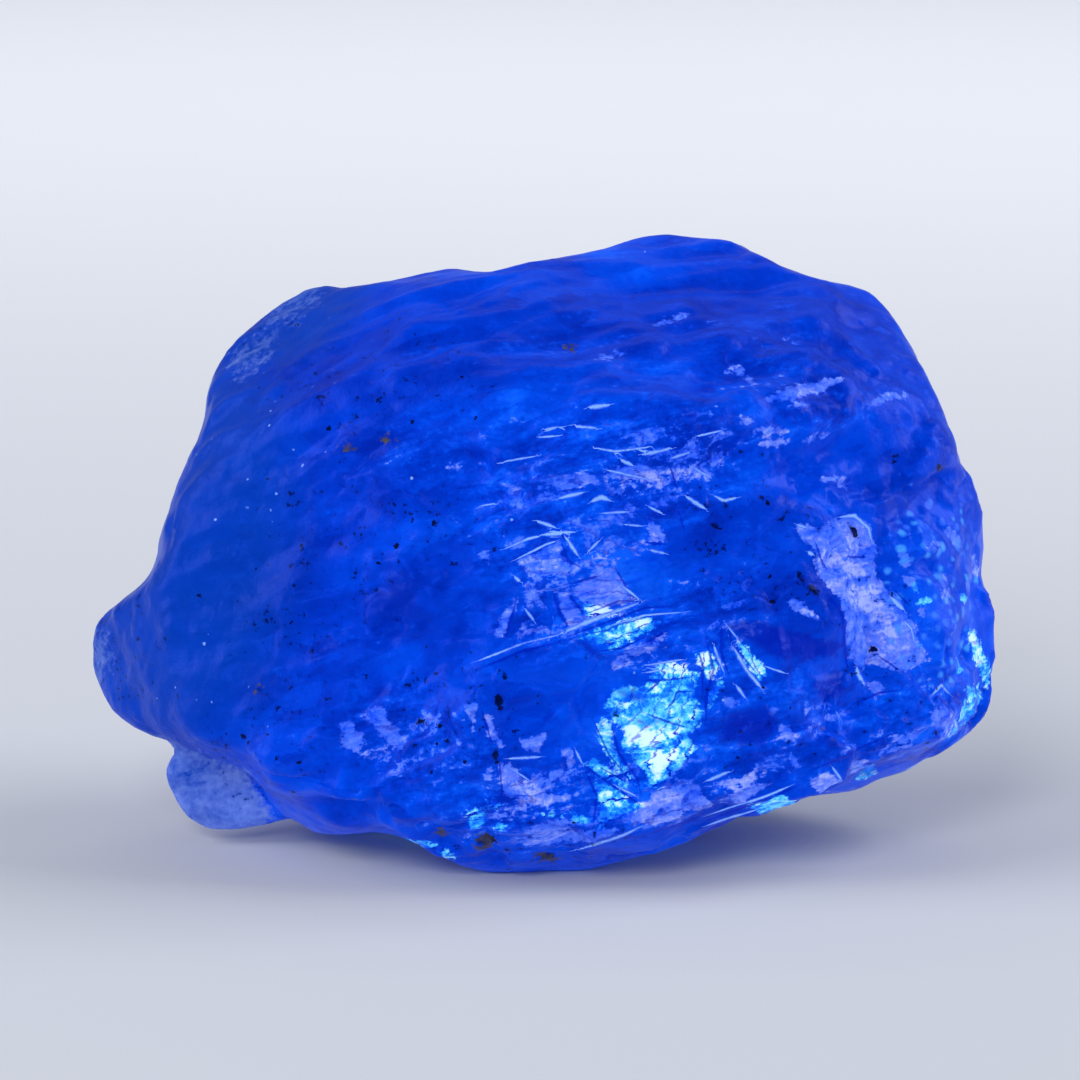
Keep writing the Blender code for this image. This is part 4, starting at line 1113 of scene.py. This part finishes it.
@dataclass
class Studio:
    """Pale floor that sweeps up behind the stone, soft lamps and the camera."""

    floor_reach: float = 0.9
    sweep_height: float = 0.7
    sweep_back: float = 0.45
    # The picture takes in this many millimetres, and the lens and distance give that
    picture_width: float = 31.0
    lens: float = 180.0
    sensor: float = 36.0
    # The middle of the picture, from the middle of the outline, in mm
    picture_middle: tuple[float, float, float] = (-0.57, 0.0, 0.57)
    floor_colour: str = "#E2E4E8"

    def build(self) -> None:
        """Set up the floor, lamps, surroundings and camera."""
        self.floor()
        self.lamps()
        self.surroundings()
        self.camera()

    def floor(self) -> None:
        """A wide floor with a curved rise at the back."""
        bpy.ops.object.select_all(action="DESELECT")
        bpy.ops.mesh.primitive_plane_add(size=2.0 * self.floor_reach, location=(0.0, 0.0, -0.01 * MM))
        floor = bpy.context.object
        floor.name = "studio_floor"
        bpy.ops.object.mode_set(mode="EDIT")
        bpy.ops.mesh.select_all(action="DESELECT")
        bpy.ops.object.mode_set(mode="OBJECT")
        for edge in floor.data.edges:
            edge.select = all(floor.data.vertices[index].co.y > 0.0 for index in edge.vertices)
        bpy.ops.object.mode_set(mode="EDIT")
        bpy.ops.mesh.select_mode(type="EDGE")
        bpy.ops.mesh.extrude_region_move(TRANSFORM_OT_translate={"value": (0.0, 0.0, self.sweep_height)})
        bpy.ops.object.mode_set(mode="OBJECT")
        for edge in floor.data.edges:
            ends = [floor.data.vertices[index].co for index in edge.vertices]
            edge.select = all(end.y > 0.0 and end.z < 0.5 * self.sweep_height for end in ends)
        bpy.ops.object.mode_set(mode="EDIT")
        bpy.ops.mesh.bevel(offset=self.sweep_back, segments=24, affect="EDGES")
        bpy.ops.object.mode_set(mode="OBJECT")
        floor.data.shade_smooth()
        paper = bpy.data.materials.new("pale_paper")
        paper.use_nodes = True
        shader = paper.node_tree.nodes["Principled BSDF"]
        shader.inputs["Base Color"].default_value = linear(self.floor_colour)
        shader.inputs["Roughness"].default_value = 0.8
        shader.inputs["Specular IOR Level"].default_value = 0.0
        floor.data.materials.append(paper)

    def lamp(self, name: str, place: tuple[float, float, float], aim: tuple[float, float, float],
             size: tuple[float, float], power: float) -> bpy.types.Object:
        """Add a soft white rectangular lamp.

        Args:
            name: The lamp's name.
            place: Where it stands, in mm from the model's origin.
            aim: The point that it faces, in mm.
            size: Its width and height in mm.
            power: Its power in watts.

        Returns:
            The lamp.
        """
        data = bpy.data.lights.new(name, "AREA")
        data.shape = "RECTANGLE"
        data.size, data.size_y = size[0] * MM, size[1] * MM
        data.energy = power
        lamp = bpy.data.objects.new(name, data)
        bpy.context.scene.collection.objects.link(lamp)
        lamp.location = Vector(place) * MM
        lamp.rotation_euler = (Vector(place) - Vector(aim)).to_track_quat("Z", "Y").to_euler()
        lamp.visible_camera = False
        return lamp

    def lamps(self) -> None:
        """Soft lamps at both sides, behind and in front of the stone."""
        middle = (0.0, 0.0, 8.0)
        self.lamp("left_lamp", (-260.0, -60.0, 150.0), middle, (220.0, 220.0), 0.5)
        self.lamp("right_lamp", (260.0, 20.0, 150.0), middle, (200.0, 220.0), 0.5)
        self.lamp("back_lamp", (0.0, 180.0, 260.0), (0.0, 420.0, 60.0), (400.0, 200.0), 0.8)
        self.lamp("front_lamp", (-60.0, -240.0, 140.0), middle, (90.0, 90.0), 0.25)

    def surroundings(self) -> None:
        """A dim, even room around the set."""
        world = bpy.data.worlds.new("studio_room")
        world.use_nodes = True
        background = world.node_tree.nodes["Background"]
        background.inputs["Color"].default_value = linear("#A4B0D0")
        background.inputs["Strength"].default_value = 0.38
        bpy.context.scene.world = world

    def camera(self) -> None:
        """The camera, a little above the stone and straight in front of it."""
        data = bpy.data.cameras.new("camera")
        data.sensor_width = self.sensor
        data.lens = self.lens
        data.clip_start = 1.0 * MM
        camera = bpy.data.objects.new("camera", data)
        bpy.context.scene.collection.objects.link(camera)
        distance = self.picture_width * self.lens / self.sensor
        eye = np.array([self.picture_middle]) + np.array([(0.0, -distance, 0.0)])
        camera.location = Vector(from_front(eye)[0] * MM)
        camera.rotation_euler = Euler((math.radians(90.0) - FRONT_TILT, 0.0, 0.0))
        scene = bpy.context.scene
        scene.camera = camera
        scene.view_settings.view_transform = "Standard"
        # Light passes through the stone a few times and then has no more to add
        scene.cycles.max_bounces = 2
        scene.cycles.diffuse_bounces = 1
        scene.cycles.glossy_bounces = 2
        scene.cycles.transmission_bounces = 2
        scene.cycles.caustics_reflective = False
        scene.cycles.caustics_refractive = False
        scene.cycles.use_light_tree = False


def main() -> None:
    """Build the stone, then the studio around it."""
    logging.basicConfig(level=logging.INFO, format="%(message)s")
    stone = CrystalStone()
    piece = stone.build()
    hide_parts(stone.node)
    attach(piece, "root")
    LOG.info("%s: %d faces", piece.name, len(piece.data.polygons))
    Studio().build()


if __name__ == "__main__":
    main()
